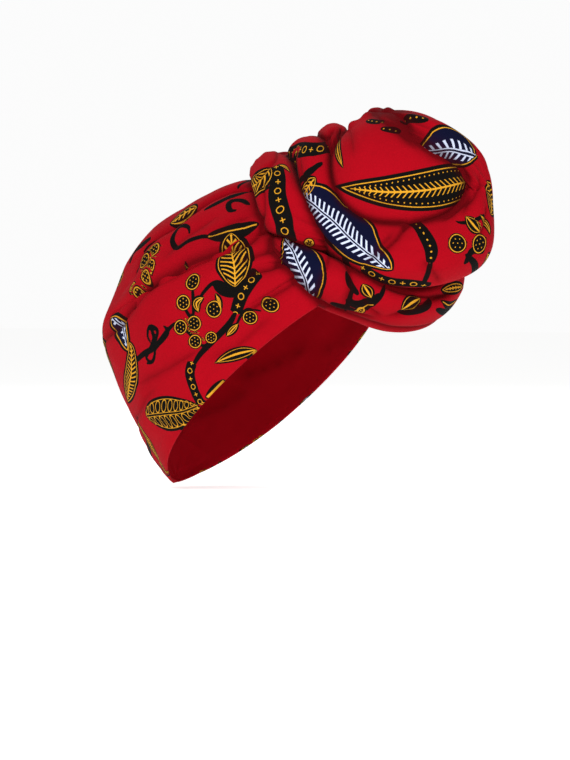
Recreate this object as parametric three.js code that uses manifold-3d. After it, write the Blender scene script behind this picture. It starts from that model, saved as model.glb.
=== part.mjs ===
// Pre-tied turban: a stretched cloth cap with a wound knot on its front.
// Millimetres, +Z up, the face toward -Y and the wearer's right toward -X.
// The origin is the inner top of the cap, where it sits on the head.
import * as THREE from 'three';
import { mergeVertices } from 'three/addons/utils/BufferGeometryUtils.js';
import Module from 'manifold-3d';

const wasm = await Module();
wasm.setup();

// Driving sizes
const CLOTH = 2;
const AIR = 0.45;
const HEAD_TOP = -10;
const HEAD_HALF = { side: 73, depth: 94, height: 105 };
const RIM_TILT = 42.5;
const RIM_CENTRE = new THREE.Vector3(0, -13.5, -129.7);
const KNOT_TURN = 62;

// Crown: how far the cloth stands off the head, from the forehead end to the nape
const STAND_OFF = [
  { around: 0, top: 6, rim: 2.5 },
  { around: 40, top: 9, rim: 2.5 },
  { around: 55, top: 10, rim: 2.5 },
  { around: 65, top: 7, rim: 2.5 },
  { around: 74, top: 6.2, rim: 2.5 },
  { around: 84, top: 9, rim: 2.5 },
  { around: 98, top: 10.2, rim: 2.5 },
  { around: 123, top: 6, rim: 2 },
  { around: 136, top: 0.5, rim: 0 },
  { around: 147, top: -4, rim: -2 },
  { around: 158, top: -6, rim: -4 },
  { around: 167, top: -3.5, rim: -4 },
  { around: 180, top: 0, rim: 0 },
];

// Crown: one row per fold, from the right rim over the top to the left rim. A path lists
// [degrees from the forehead end, degrees up from the right rim]; the cloth steps up by
// rise, on the side toward the top, and the fold dies out over the last part of its run.
const FOLDS = [
  { path: [[0, 26], [36, 22.6], [45, 20], [58, 19], [180, 20]], rise: 2.2, ends: 68, over: 1 },
  { path: [[0, 36], [40, 33], [49, 35], [90, 36], [180, 40]], rise: 2.4, ends: 62, over: 1 },
  { path: [[0, 60], [45, 50], [58, 47], [79, 50], [98, 55], [123, 73], [180, 72]],
    rise: 4.2, ends: 140, over: 1 },
  { path: [[0, 80], [56, 75], [69, 68], [85, 67], [94, 70], [123, 84], [180, 86]],
    rise: 3.6, ends: 108, over: 1 },
  { path: [[0, 102], [60, 106], [90, 112], [180, 104]], rise: 3.4, ends: 112, over: -1 },
  { path: [[0, 122], [60, 131], [90, 129], [123, 118], [180, 116]],
    rise: 4, ends: 136, over: -1 },
  { path: [[0, 152], [60, 156], [180, 158]], rise: 2.4, ends: 70, over: -1 },
];
const FOLD_CURL = 4;
const FOLD_REACH = 28;
const FOLD_EDGE = 2.5;
const VALLEY_SHARE = 0.35;
const FADE_SHARE = 0.55;
const RIM_FLAT = 1 / 3;
const SHOULDER = 0.8;
const CROWN_ROWS = 30;
const CROWN_SUB_COLUMNS = 3;
const INNER_COLUMNS = 12;
const NARROWEST = 0.35;

// Knot strands: centre-line and size of each section, in axes turned about the vertical.
// along runs toward the forehead, out toward the wearer's right, up is the object's own up.
// thick is measured away from the hub that the strand winds round, wide across it, and
// roll turns the section. A crease runs the whole strand, at degrees round its section.
const BACK_WRAP = {
  hub: { along: 42, out: 21, up: -35 },
  crease: { at: 292.5, deep: 3 },
  rows: [
    { along: 54, out: 60, up: -36, thick: 18, wide: 22 },
    { along: 43, out: 63, up: -33, thick: 24, wide: 29 },
    { along: 30, out: 62, up: -28, thick: 27, wide: 32 },
    { along: 20, out: 57, up: -17, thick: 28, wide: 33 },
    { along: 15, out: 49, up: -5, thick: 27, wide: 32 },
    { along: 12, out: 36, up: 4, thick: 24, wide: 31 },
    { along: 12, out: 14, up: 7, thick: 22, wide: 31 },
    { along: 24, out: -8, up: 6, thick: 24, wide: 32 },
    { along: 38, out: -19, up: -2, thick: 26, wide: 32 },
    { along: 53, out: -24, up: -14, thick: 26, wide: 32 },
    { along: 68, out: -24, up: -28, thick: 24, wide: 28 },
    { along: 84, out: -10, up: -40, thick: 20, wide: 22 },
  ],
};
const TOP_WRAP = {
  hub: { along: 66, out: 20, up: -30 },
  rows: [
    { along: 55, out: 56, up: 2, thick: 13, wide: 16 },
    { along: 55, out: 50, up: 14, thick: 15, wide: 17 },
    { along: 53, out: 41, up: 24, thick: 16, wide: 18 },
    { along: 52, out: 28, up: 30, thick: 17, wide: 20 },
    { along: 52, out: 14, up: 29, thick: 18, wide: 22 },
    { along: 58, out: -2, up: 23, thick: 20, wide: 24 },
    { along: 68, out: -12, up: 13, thick: 20, wide: 24 },
    { along: 79, out: -13, up: 0, thick: 19, wide: 22 },
    { along: 92, out: -4, up: -12, thick: 16, wide: 18 },
  ],
};
const FRONT_COIL = {
  hub: { along: 97, out: 52, up: -8 },
  rows: [
    { along: 92, out: -2, up: -28, thick: 15, wide: 18 },
    { along: 78, out: -16, up: -19, thick: 20, wide: 24 },
    { along: 64, out: -21, up: -6, thick: 22, wide: 26 },
    { along: 52, out: -14, up: 8, thick: 23, wide: 26 },
    { along: 43, out: -3, up: 15, thick: 24, wide: 26 },
    { along: 38, out: 12, up: 18, thick: 26, wide: 26 },
    { along: 38, out: 27, up: 17, thick: 27, wide: 28 },
    { along: 40, out: 39, up: 14, thick: 26, wide: 31 },
    { along: 41, out: 48, up: 5, thick: 25, wide: 34 },
    { along: 44, out: 56, up: -10, thick: 24, wide: 36 },
    { along: 52, out: 63, up: -26, thick: 28, wide: 38 },
    { along: 66, out: 69, up: -38, thick: 34, wide: 40 },
    { along: 88, out: 73, up: -44, thick: 44, wide: 42 },
    { along: 111, out: 73, up: -43, thick: 46, wide: 42 },
    { along: 129, out: 66, up: -35, thick: 42, wide: 40 },
    { along: 139, out: 58, up: -19, thick: 30, wide: 36 },
    { along: 141, out: 54, up: -2, thick: 22, wide: 31, roll: -15 },
    { along: 136, out: 60, up: 11, thick: 20, wide: 29, roll: -30 },
    { along: 125, out: 68, up: 21, thick: 20, wide: 28, roll: -40 },
    { along: 112, out: 72, up: 27, thick: 20, wide: 30, roll: -42 },
    { along: 99, out: 68, up: 32, thick: 18, wide: 28, roll: -42 },
    { along: 87, out: 56, up: 36, thick: 15, wide: 24, roll: -40 },
    { along: 76, out: 38, up: 37, thick: 13, wide: 20, roll: -30 },
    { along: 67, out: 20, up: 29, thick: 12, wide: 18, roll: -10 },
  ],
};
const FAR_COIL = {
  hub: { along: 100, out: 10, up: -16 },
  rows: [
    { along: 77, out: 16, up: 16, thick: 20, wide: 28 },
    { along: 92, out: 13, up: 20, thick: 28, wide: 36 },
    { along: 109, out: 15, up: 16, thick: 32, wide: 40 },
    { along: 123, out: 18, up: 4, thick: 34, wide: 40 },
    { along: 129, out: 20, up: -14, thick: 35, wide: 40 },
    { along: 124, out: 15, up: -31, thick: 36, wide: 40 },
    { along: 109, out: 5, up: -41, thick: 37, wide: 39 },
    { along: 93, out: -5, up: -40, thick: 36, wide: 38 },
    { along: 81, out: -14, up: -28, thick: 32, wide: 35 },
    { along: 80, out: -15, up: -11, thick: 28, wide: 31 },
    { along: 90, out: -8, up: 1, thick: 24, wide: 27 },
    { along: 104, out: -1, up: 1, thick: 19, wide: 22 },
    { along: 110, out: 2, up: -12, thick: 15, wide: 18 },
  ],
};
const FOREHEAD_ROLL = {
  hub: { along: 76, out: 30, up: -36 },
  crease: { at: 22.5, deep: 2.5 },
  rows: [
    { along: 12, out: 60, up: -36, thick: 12, wide: 16 },
    { along: 24, out: 65, up: -48, thick: 18, wide: 25 },
    { along: 37, out: 68, up: -58, thick: 22, wide: 33 },
    { along: 52, out: 70, up: -66, thick: 26, wide: 35 },
    { along: 71, out: 68, up: -73, thick: 28, wide: 36 },
    { along: 90, out: 62, up: -78, thick: 30, wide: 38 },
    { along: 108, out: 52, up: -77, thick: 30, wide: 38 },
    { along: 119, out: 36, up: -70, thick: 28, wide: 36 },
    { along: 120, out: 17, up: -63, thick: 28, wide: 34 },
    { along: 110, out: 1, up: -58, thick: 28, wide: 34 },
    { along: 92, out: -8, up: -55, thick: 26, wide: 32 },
    { along: 75, out: -12, up: -50, thick: 20, wide: 24 },
  ],
};
const KNOT_CENTRE = {
  along: 94, out: 50, up: 2, half_along: 47, half_up: 46, front: 41, back: 58, lean: 29,
};
const STRAND_SIDES = 16;
const STRAND_STEPS = 22;
const STRAND_END = 11;
const END_STEPS = 3;
const END_SPREAD = 0.5;
const SQUARENESS = 2.3;
const CREASE_SPREAD = 14;
const CENTRE_ROWS = 14;
const CENTRE_COLUMNS = 20;

const radians = THREE.MathUtils.degToRad;
const { lerp, smoothstep } = THREE.MathUtils;

// Reads a value from rows sorted by a key, straight between the rows
function readRows(rows, key, field, at) {
  const last = rows.length - 1;
  if (at >= rows[last][key]) return rows[last][field];
  const next = rows.findIndex((row) => row[key] > at);
  const [a, b] = [rows[next - 1], rows[next]];
  return lerp(a[field], b[field], (at - a[key]) / (b[key] - a[key]));
}

// Crown directions: around 0 is the forehead end of the rim, 180 the nape end;
// up 0 is the right rim, 90 the top line, 180 the left rim
function crownDirection(around, up) {
  const [a, u, tilt] = [radians(around), radians(up), radians(RIM_TILT)];
  const front = new THREE.Vector3(0, -Math.cos(tilt), Math.sin(tilt));
  const lift = new THREE.Vector3(0, Math.sin(tilt), Math.cos(tilt));
  return front.multiplyScalar(Math.cos(a))
    .addScaledVector(lift, Math.sin(a) * Math.sin(u))
    .addScaledVector(new THREE.Vector3(-1, 0, 0), Math.sin(a) * Math.cos(u));
}

// Distance from the rim's centre to the head along a direction
function headDistance(direction) {
  const half = new THREE.Vector3(HEAD_HALF.side, HEAD_HALF.depth, HEAD_HALF.height);
  const middle = new THREE.Vector3(0, 0, HEAD_TOP - HEAD_HALF.height);
  const d = direction.clone().divide(half);
  const c = RIM_CENTRE.clone().sub(middle).divide(half);
  const [A, B, D] = [d.dot(d), d.dot(c), c.dot(c) - 1];
  return (-B + Math.sqrt(B * B - A * D)) / A;
}

function foldAngle(fold, around) {
  const rows = fold.path.map(([a, up]) => ({ a, up }));
  return readRows(rows, 'a', 'up', around);
}

// Height that the folds add: flat cloth runs into a valley, and the cloth beyond it
// curls up out of the valley and eases down again
function foldHeight(around, up, distance) {
  let height = 0;
  for (const fold of FOLDS) {
    const turn = radians(up - foldAngle(fold, around)) * Math.sin(radians(around));
    const across = turn * distance * fold.over;
    const strength = fold.rise * (1 - smoothstep(around, fold.ends * FADE_SHARE, fold.ends));
    const curl = Math.exp(-Math.abs(across) / FOLD_CURL);
    const ridge = (1 - (1 + VALLEY_SHARE) * curl) * Math.exp(-across / FOLD_REACH);
    height += strength * (across > 0 ? ridge : -VALLEY_SHARE * curl);
  }
  return height;
}

// A point of the crown's outer face, or so far inside it
function crownPoint(around, up, inward) {
  const direction = crownDirection(around, up);
  const distance = headDistance(direction);
  const top = readRows(STAND_OFF, 'around', 'top', around);
  const rim = readRows(STAND_OFF, 'around', 'rim', around);
  const rise = Math.max(0, Math.sin(radians(up))) ** SHOULDER;
  const folds = foldHeight(around, up, distance) * Math.min(1, rise / RIM_FLAT);
  const reach = distance + lerp(rim, top, rise) + folds - inward;
  return RIM_CENTRE.clone().addScaledVector(direction, reach);
}

// Columns of the crown's outer face: each fold gets one on either side of its step
function crownColumns(around) {
  const radius = HEAD_HALF.depth * Math.max(NARROWEST, Math.sin(radians(around)));
  const edge = THREE.MathUtils.radToDeg(FOLD_EDGE / radius);
  const stops = FOLDS.flatMap((fold) => {
    const up = foldAngle(fold, around);
    return fold.over > 0 ? [up, up + edge] : [up - edge, up];
  });
  const ends = [0, ...stops, 180];
  const columns = [];
  for (let i = 0; i < ends.length - 1; i += 1) {
    const parts = i % 2 === 0 ? CROWN_SUB_COLUMNS : 1;
    for (let k = 0; k < parts; k += 1) columns.push(lerp(ends[i], ends[i + 1], k / parts));
  }
  return [...columns, 180];
}

function evenColumns(from, to, count) {
  return Array.from({ length: count + 1 }, (_, i) => lerp(from, to, i / count));
}

// A closed mesh from rows of points; every row has the same length, the first and the
// last row are single points. Rows close on themselves.
function closedMesh(first, rows, last) {
  const points = [first, ...rows.flat(), last];
  const across = rows[0].length;
  const faces = [];
  const at = (row, k) => 1 + row * across + (k % across);
  for (let k = 0; k < across; k += 1) {
    faces.push(0, at(0, k + 1), at(0, k));
    faces.push(points.length - 1, at(rows.length - 1, k), at(rows.length - 1, k + 1));
    for (let row = 0; row < rows.length - 1; row += 1) {
      faces.push(at(row, k), at(row, k + 1), at(row + 1, k + 1));
      faces.push(at(row, k), at(row + 1, k + 1), at(row + 1, k));
    }
  }
  return solidFrom(points, faces);
}

function solidFrom(points, faces) {
  const geometry = new THREE.BufferGeometry();
  geometry.setAttribute('position', new THREE.BufferAttribute(
    new Float32Array(points.flatMap((p) => [p.x, p.y, p.z])), 3));
  geometry.setIndex(faces);
  return geometry;
}

function toManifold(geometry) {
  const merged = mergeVertices(geometry);
  return new wasm.Manifold(new wasm.Mesh({
    numProp: 3,
    vertProperties: merged.attributes.position.array,
    triVerts: new Uint32Array(merged.index.array),
  }));
}

function toGeometry(manifold) {
  const mesh = manifold.getMesh();
  const geometry = new THREE.BufferGeometry();
  geometry.setAttribute('position', new THREE.BufferAttribute(mesh.vertProperties, 3));
  geometry.setIndex(Array.from(mesh.triVerts));
  return geometry;
}

// The crown is a thin wall: an outer face with the folds, a plainer inner face, one rim
function crownGeometry() {
  const around = evenColumns(0, 180, CROWN_ROWS).slice(1, -1);
  const rows = around.map((a) => {
    const outer = crownColumns(a).map((up) => crownPoint(a, up, 0));
    const inner = evenColumns(180, 0, INNER_COLUMNS).map((up) => crownPoint(a, up, CLOTH));
    return { outer, inner };
  });
  const points = [];
  const faces = [];
  const push = (p) => points.push(p) - 1;
  const tips = [0, 180].map((a) => [push(crownPoint(a, 90, 0)), push(crownPoint(a, 90, CLOTH))]);
  const grid = rows.map(({ outer, inner }) => ({ outer: outer.map(push), inner: inner.map(push) }));
  const strip = (a, b) => {
    for (let k = 0; k < a.length - 1; k += 1) {
      faces.push(a[k], a[k + 1], b[k + 1], a[k], b[k + 1], b[k]);
    }
  };
  const fan = (tip, row, flip) => {
    for (let k = 0; k < row.length - 1; k += 1) {
      faces.push(...(flip ? [tip, row[k], row[k + 1]] : [tip, row[k + 1], row[k]]));
    }
  };
  const rimWall = (row) => [
    [row.inner.at(-1), row.outer[0]],
    [row.outer.at(-1), row.inner[0]],
  ];
  for (let i = 0; i < grid.length - 1; i += 1) {
    strip(grid[i].outer, grid[i + 1].outer);
    strip(grid[i].inner, grid[i + 1].inner);
    rimWall(grid[i]).forEach((pair, side) => strip(pair, rimWall(grid[i + 1])[side]));
  }
  [[tips[0], grid[0], false], [tips[1], grid.at(-1), true]].forEach(([tip, row, flip]) => {
    fan(tip[0], row.outer, flip);
    fan(tip[1], row.inner, flip);
    const [near, far] = rimWall(row);
    const turn = (a, b, c) => faces.push(...(flip ? [a, c, b] : [a, b, c]));
    turn(tip[1], near[1], near[0]);
    turn(tip[1], tip[0], near[1]);
    turn(tip[0], far[1], far[0]);
    turn(tip[0], tip[1], far[1]);
  });
  return solidFrom(points, faces);
}

// What the knot's pieces must stay out of: the crown and all that is inside it
function crownBlank(clearance) {
  const around = evenColumns(0, 180, CROWN_ROWS).slice(1, -1);
  const under = evenColumns(180, 360, INNER_COLUMNS).slice(1, -1);
  const rows = around.map((a) => [...crownColumns(a), ...under]
    .map((up) => crownPoint(a, up, -clearance)));
  return closedMesh(crownPoint(0, 90, -clearance), rows, crownPoint(180, 90, -clearance));
}

function place({ along, out, up }) {
  return new THREE.Vector3(along, -out, up)
    .applyAxisAngle(new THREE.Vector3(0, 0, 1), -radians(KNOT_TURN));
}

// Steps along a strand, close together at its rounded ends; grown is 0 at a tip, 1 between
function strandSteps(length, end) {
  const steps = [];
  for (let k = 1; k <= END_STEPS; k += 1) {
    const angle = radians(90 * k / (END_STEPS + END_SPREAD));
    steps.push({ distance: end * (1 - Math.cos(angle)), grown: Math.sin(angle) });
  }
  const middle = Array.from({ length: STRAND_STEPS - 1 }, (_, k) => ({
    distance: lerp(end, length - end, k / (STRAND_STEPS - 2)), grown: 1,
  }));
  const back = steps.map(({ distance, grown }) => ({ distance: length - distance, grown })).reverse();
  return [...steps, ...middle, ...back];
}

function dentAt(crease, degrees) {
  if (!crease) return 0;
  return crease.deep * Math.exp(-(((degrees - crease.at) / CREASE_SPREAD) ** 2));
}

function strandGeometry({ hub, rows, crease }, grow) {
  const centre = new THREE.CatmullRomCurve3(rows.map(place));
  const sizes = new THREE.CatmullRomCurve3(
    rows.map(({ thick, wide, roll = 0 }) => new THREE.Vector3(thick, wide, roll)));
  const middle = place(hub);
  const length = centre.getLength();
  const sections = strandSteps(length, STRAND_END).map(({ distance, grown }) => {
    const t = centre.getUtoTmapping(distance / length);
    const at = centre.getPoint(t);
    const forward = centre.getTangent(t);
    const away = at.clone().sub(middle).projectOnPlane(forward).normalize();
    const size = sizes.getPoint(t);
    away.applyAxisAngle(forward, radians(size.z));
    const across = forward.clone().cross(away);
    return Array.from({ length: STRAND_SIDES }, (_, k) => {
      const degrees = 360 * k / STRAND_SIDES;
      const [c, s] = [Math.cos(radians(degrees)), Math.sin(radians(degrees))];
      const round = (v) => Math.sign(v) * Math.abs(v) ** (2 / SQUARENESS);
      const proud = grow - dentAt(crease, degrees) * grown;
      return at.clone()
        .addScaledVector(away, round(c) * (size.x / 2 * grown + proud))
        .addScaledVector(across, round(s) * (size.y / 2 * grown + proud));
    });
  });
  const tip = (t, sign) => centre.getPoint(t).addScaledVector(centre.getTangent(t), sign * grow);
  return closedMesh(tip(0, -1), sections, tip(1, 1));
}

// The middle of the knot: an egg-shaped ball that leans back with the front coil
function knotCentreGeometry(size, grow) {
  const { half_along, half_up, front, back, lean } = size;
  const tilt = radians(lean);
  const middle = new THREE.Vector3(size.along, -size.out, size.up);
  const turn = new THREE.Vector3(0, 0, 1);
  const point = (latitude, longitude) => {
    const [a, b] = [radians(latitude), radians(longitude)];
    const p = new THREE.Vector3(
      (half_along + grow) * Math.sin(a) * Math.cos(b),
      -((a < Math.PI / 2 ? front : back) + grow) * Math.cos(a),
      (half_up + grow) * Math.sin(a) * Math.sin(b));
    return p.applyAxisAngle(new THREE.Vector3(1, 0, 0), -tilt).add(middle)
      .applyAxisAngle(turn, -radians(KNOT_TURN));
  };
  const rows = evenColumns(0, 180, CENTRE_ROWS).slice(1, -1)
    .map((a) => evenColumns(360, 0, CENTRE_COLUMNS).slice(1).map((b) => point(a, b)));
  return closedMesh(point(0, 0), rows, point(180, 0));
}

const clothFinish = (color) => new THREE.MeshStandardMaterial({ color, roughness: 0.9, metalness: 0 });

function named(name, geometry, color) {
  const mesh = new THREE.Mesh(geometry, clothFinish(color));
  mesh.name = name;
  return mesh;
}

// The largest solid that is left after a cut
function largest(manifold) {
  const parts = manifold.decompose();
  return parts.reduce((best, part) => (part.volume() > best.volume() ? part : best));
}

const knotPieces = [
  { name: 'front_coil', build: (grow) => strandGeometry(FRONT_COIL, grow), color: 0xb01228 },
  { name: 'top_wrap', build: (grow) => strandGeometry(TOP_WRAP, grow), color: 0xa81026 },
  { name: 'back_wrap', build: (grow) => strandGeometry(BACK_WRAP, grow), color: 0xa81026 },
  { name: 'knot_centre', build: (grow) => knotCentreGeometry(KNOT_CENTRE, grow), color: 0xb41228 },
  { name: 'forehead_roll', build: (grow) => strandGeometry(FOREHEAD_ROLL, grow), color: 0xa81026 },
  { name: 'far_coil', build: (grow) => strandGeometry(FAR_COIL, grow), color: 0xb01228 },
];

const turban = new THREE.Group();
turban.name = 'turban';
turban.add(named('crown', crownGeometry(), 0xa60f24));

// Each piece gives way to the crown and to the pieces before it in the list
let taken = toManifold(crownBlank(AIR));
for (const { name, build, color } of knotPieces) {
  const solid = largest(toManifold(build(0)).subtract(taken));
  taken = taken.add(toManifold(build(AIR)));
  turban.add(named(name, toGeometry(solid), color));
}

// The seat is the highest point of the crown's inner face, on the top line
const topLine = evenColumns(0, 180, 180).map((around) => crownPoint(around, 90, CLOTH).z);
turban.position.z = -Math.max(...topLine);

export default turban;
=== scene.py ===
"""Blender looks of a pre-tied turban: a stretched cloth cap with a wound knot on its front.

Sizes are millimetres and angles degrees, and meshes become metres when they are made.
+Z is up, the face is toward -Y and the wearer's right toward -X. The cap and the strands
repeat the forms of the solids, with finer folds, hems and creases, and one printed cotton.
"""

import logging
import math
from dataclasses import dataclass
from enum import Enum
from typing import Any, Optional, Sequence, Union

import bpy
import numpy as np
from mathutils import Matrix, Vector
from mathutils.kdtree import KDTree


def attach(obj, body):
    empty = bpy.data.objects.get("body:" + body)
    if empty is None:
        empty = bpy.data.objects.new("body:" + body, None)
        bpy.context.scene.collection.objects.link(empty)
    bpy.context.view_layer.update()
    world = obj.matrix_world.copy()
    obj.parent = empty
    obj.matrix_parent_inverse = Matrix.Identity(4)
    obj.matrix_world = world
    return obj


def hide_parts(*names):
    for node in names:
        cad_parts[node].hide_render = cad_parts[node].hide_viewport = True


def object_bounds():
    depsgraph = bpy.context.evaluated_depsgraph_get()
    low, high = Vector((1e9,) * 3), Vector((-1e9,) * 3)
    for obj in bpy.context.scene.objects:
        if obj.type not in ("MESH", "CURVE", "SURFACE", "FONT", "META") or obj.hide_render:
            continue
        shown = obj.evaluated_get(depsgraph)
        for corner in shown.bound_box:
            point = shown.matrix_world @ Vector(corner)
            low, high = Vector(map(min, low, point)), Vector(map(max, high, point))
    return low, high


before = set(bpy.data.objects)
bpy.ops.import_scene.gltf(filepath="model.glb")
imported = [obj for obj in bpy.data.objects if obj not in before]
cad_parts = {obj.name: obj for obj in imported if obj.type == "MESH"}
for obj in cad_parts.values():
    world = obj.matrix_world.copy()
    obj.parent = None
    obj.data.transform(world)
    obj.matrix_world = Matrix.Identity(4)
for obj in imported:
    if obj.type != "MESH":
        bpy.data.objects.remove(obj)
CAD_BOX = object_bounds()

Array = np.ndarray
Number = Union[float, Array]
Line = tuple[tuple[float, float], ...]

LOG = logging.getLogger("turban")
METRES = 0.001
KNOT_TURN = 62.0


def smoothstep(value: Number, low: float, high: float) -> Number:
    """Eases from 0 at low to 1 at high."""
    share = np.clip((value - low) / (high - low), 0.0, 1.0)
    return share * share * (3.0 - 2.0 * share)


def bump(value: Number, start: float, stop: float, ease: float) -> Number:
    """A plateau of 1 between two ends, eased to 0 outside them."""
    return smoothstep(value, start, start + ease) * (1.0 - smoothstep(value, stop - ease, stop))


def unit(vectors: Array) -> Array:
    """Vectors of length 1 along the last axis."""
    return vectors / np.maximum(np.linalg.norm(vectors, axis=-1, keepdims=True), 1e-12)


@dataclass(frozen=True)
class Unevenness:
    """Smooth random height over a net, the same at each run."""

    seed: int  # the number that picks the pattern
    along: int  # cells along the first axis, over its whole length
    across: int  # cells along the second axis, over its whole length
    joined: bool = True  # whether the second axis closes on itself

    def at(self, first: Array, second: Array) -> Array:
        """Heights between about -1 and 1.

        Args:
            first: Places along the first axis, from 0 to 1.
            second: Places along the second axis, from 0 to 1.

        Returns:
            A height for each place.
        """
        cells = np.random.default_rng(self.seed).uniform(-1, 1, (self.along + 2, self.across + 2))
        x, y = np.clip(first, 0, 1) * self.along, second * self.across
        i, j = np.floor(x).astype(int), np.floor(y).astype(int)
        u, v = smoothstep(x - i, 0, 1), smoothstep(y - j, 0, 1)
        i = np.clip(i, 0, self.along)
        if self.joined:
            left, right = j % self.across, (j + 1) % self.across
        else:
            left, right = np.clip(j, 0, self.across), np.clip(j + 1, 0, self.across + 1)
        low = cells[i, left] * (1 - v) + cells[i, right] * v
        high = cells[i + 1, left] * (1 - v) + cells[i + 1, right] * v
        return low * (1 - u) + high * u


class Spline:
    """A smooth curve through points, with the spacing of the points taken into account."""

    SAME_PLACE = 1e-2

    def __init__(self, points: Array) -> None:
        """Keeps the points and one more past each end.

        Args:
            points: The points, one in each row.
        """
        self.points = np.asarray(points, float)
        before, after = 2 * self.points[0] - self.points[1], 2 * self.points[-1] - self.points[-2]
        self.knots = np.vstack([before, self.points, after])
        step = np.linalg.norm(np.diff(self.knots, axis=0), axis=1) ** 0.5
        self.steps = np.where(step < self.SAME_PLACE, 1.0, step)

    def at(self, share: Array) -> Array:
        """Points of the curve.

        Args:
            share: Places from 0 to 1, even from point to point.

        Returns:
            A point for each place.
        """
        place = np.clip(share, 0, 1) * (len(self.points) - 1)
        i = np.minimum(place.astype(int), len(self.points) - 2)
        w = (place - i)[:, None]
        p0, p1, p2, p3 = (self.knots[i + k] for k in range(4))
        d0, d1, d2 = (self.steps[i + k][:, None] for k in range(3))
        t1 = ((p1 - p0) / d0 - (p2 - p0) / (d0 + d1) + (p2 - p1) / d1) * d1
        t2 = ((p2 - p1) / d1 - (p3 - p1) / (d1 + d2) + (p3 - p2) / d2) * d1
        square, cube = w * w, w * w * w
        return (p1 + t1 * w + (3 * p2 - 3 * p1 - 2 * t1 - t2) * square
                + (2 * p1 - 2 * p2 + t1 + t2) * cube)

    def even(self, samples: int = 4000) -> tuple[Array, Array]:
        """The curve's length up to many places along it.

        Args:
            samples: How many places.

        Returns:
            The places as shares, and the lengths up to them.
        """
        share = np.linspace(0, 1, samples)
        line = self.at(share)
        steps = np.linalg.norm(np.diff(line, axis=0), axis=1)
        return share, np.concatenate([[0.0], np.cumsum(steps)])


@dataclass
class Net:
    """Rows of points that make the faces of one piece."""

    points: Array  # places in millimetres, rows by columns by 3
    cloth: Array  # flat places on the cloth in millimetres, rows by columns by 2
    creased: Array  # depth of the creases in millimetres, rows by columns; it sets the painted shade
    plain: Optional[Array] = None  # whether the cloth's unprinted side shows, for each column

    def normals(self) -> Array:
        """Outward directions of the net's points; the columns close on themselves.

        Returns:
            A direction of length 1 for each point.
        """
        along = np.gradient(self.points, axis=0)
        across = np.roll(self.points, -1, axis=1) - np.roll(self.points, 1, axis=1)
        return unit(np.cross(across, along))

    def numbers(self) -> Array:
        """Numbers of the points, in rows and columns."""
        rows, columns = self.points.shape[:2]
        return np.arange(rows * columns).reshape(rows, columns)

    def closed(self) -> Array:
        """Numbers of the points, where the first and the last row are one point each.

        Returns:
            A number for each point.
        """
        index = self.numbers()
        index[0], index[-1] = index[0, 0], index[-1, 0]
        return index


def turned(points: Array, degrees: float) -> Array:
    """Points turned about the vertical.

    Args:
        points: The points, in the last axis.
        degrees: The turn, anticlockwise from above.

    Returns:
        The turned points.
    """
    c, s = math.cos(math.radians(degrees)), math.sin(math.radians(degrees))
    x, y, z = np.moveaxis(points, -1, 0)
    return np.stack([c * x - s * y, s * x + c * y, z], axis=-1)


def rotated(vectors: Array, axes: Array, degrees: Array) -> Array:
    """Vectors turned about axes of length 1.

    Args:
        vectors: The vectors, one in each row.
        axes: An axis for each vector.
        degrees: A turn for each vector.

    Returns:
        The turned vectors.
    """
    c, s = np.cos(np.radians(degrees))[:, None], np.sin(np.radians(degrees))[:, None]
    return vectors * c + np.cross(axes, vectors) * s + axes * (
        (vectors * axes).sum(1, keepdims=True) * (1 - c))


class Trail:
    """A line on a piece's flat cloth, and the places near it."""

    STEP = 0.8
    SAMPLES = 400
    MARGIN = 1.5

    def __init__(self, points: Line, cloth: Array, reach: float) -> None:
        """Measures the places near the line.

        Args:
            points: Points of the line, in millimetres.
            cloth: Flat cloth places, one in each row.
            reach: How far from the line a place may be.
        """
        ends = np.array(points, float)
        low, high = ends.min(0) - self.MARGIN * reach, ends.max(0) + self.MARGIN * reach
        self.near = np.flatnonzero(((cloth > low) & (cloth < high)).all(1))
        curve = Spline(ends)
        share, length = curve.even(self.SAMPLES)
        self.length = float(length[-1])
        count = max(3, int(self.length / self.STEP))
        line = curve.at(np.interp(np.linspace(0, self.length, count), length, share))
        forward = unit(np.gradient(line, axis=0))
        places = cloth[self.near]
        i = ((places[:, None] - line[None]) ** 2).sum(-1).argmin(1)
        offset = places - line[i]
        self.along = i * self.length / (count - 1) + (offset * forward[i]).sum(1)
        self.side = offset[:, 1] * forward[i, 0] - offset[:, 0] * forward[i, 1]


@dataclass(frozen=True)
class Crease:
    """A crease along a line on a piece's flat cloth."""

    deep: float  # depth of the crease
    wide: float  # reach of the crease to either side
    lip: float  # height that the cloth stands up on the line's left
    fall: float  # distance over which it comes down again
    line: Line  # points of the line, in millimetres

    EASE = 0.35

    def lay(self, cloth: Array, height: Array, creased: Array) -> None:
        """Adds the crease to the heights of the places that it reaches.

        Args:
            cloth: Flat cloth places, one in each row.
            height: A height for each place, which is changed.
            creased: The depth of all creases at each place, which is changed.
        """
        trail = Trail(self.line, cloth, 2 * self.fall)
        ease = self.EASE * trail.length
        strength = bump(trail.along, -ease / 2, trail.length + ease / 2, ease)
        valley = self.deep * strength * np.exp(-np.abs(trail.side) / self.wide)
        past = np.maximum(trail.side, 0)
        stand = self.lip * (1 - np.exp(-past / self.wide)) * np.exp(-((past / self.fall) ** 2))
        height[trail.near] += strength * stand - valley
        creased[trail.near] += valley


@dataclass(frozen=True)
class Swell:
    """A soft rise or hollow of the cloth round one place."""

    x: float  # the place's first distance on the flat cloth, in millimetres
    y: float  # its second distance
    reach: float  # how far from it the cloth is moved
    rise: float  # height at the place, or below 0 the depth

    def lay(self, cloth: Array, height: Array, creased: Array) -> None:
        """Adds the swell to the heights."""
        apart = ((cloth - (self.x, self.y)) ** 2).sum(1) / self.reach ** 2
        height += self.rise * np.exp(-apart)


Relief = Union[Crease, Swell]


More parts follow.
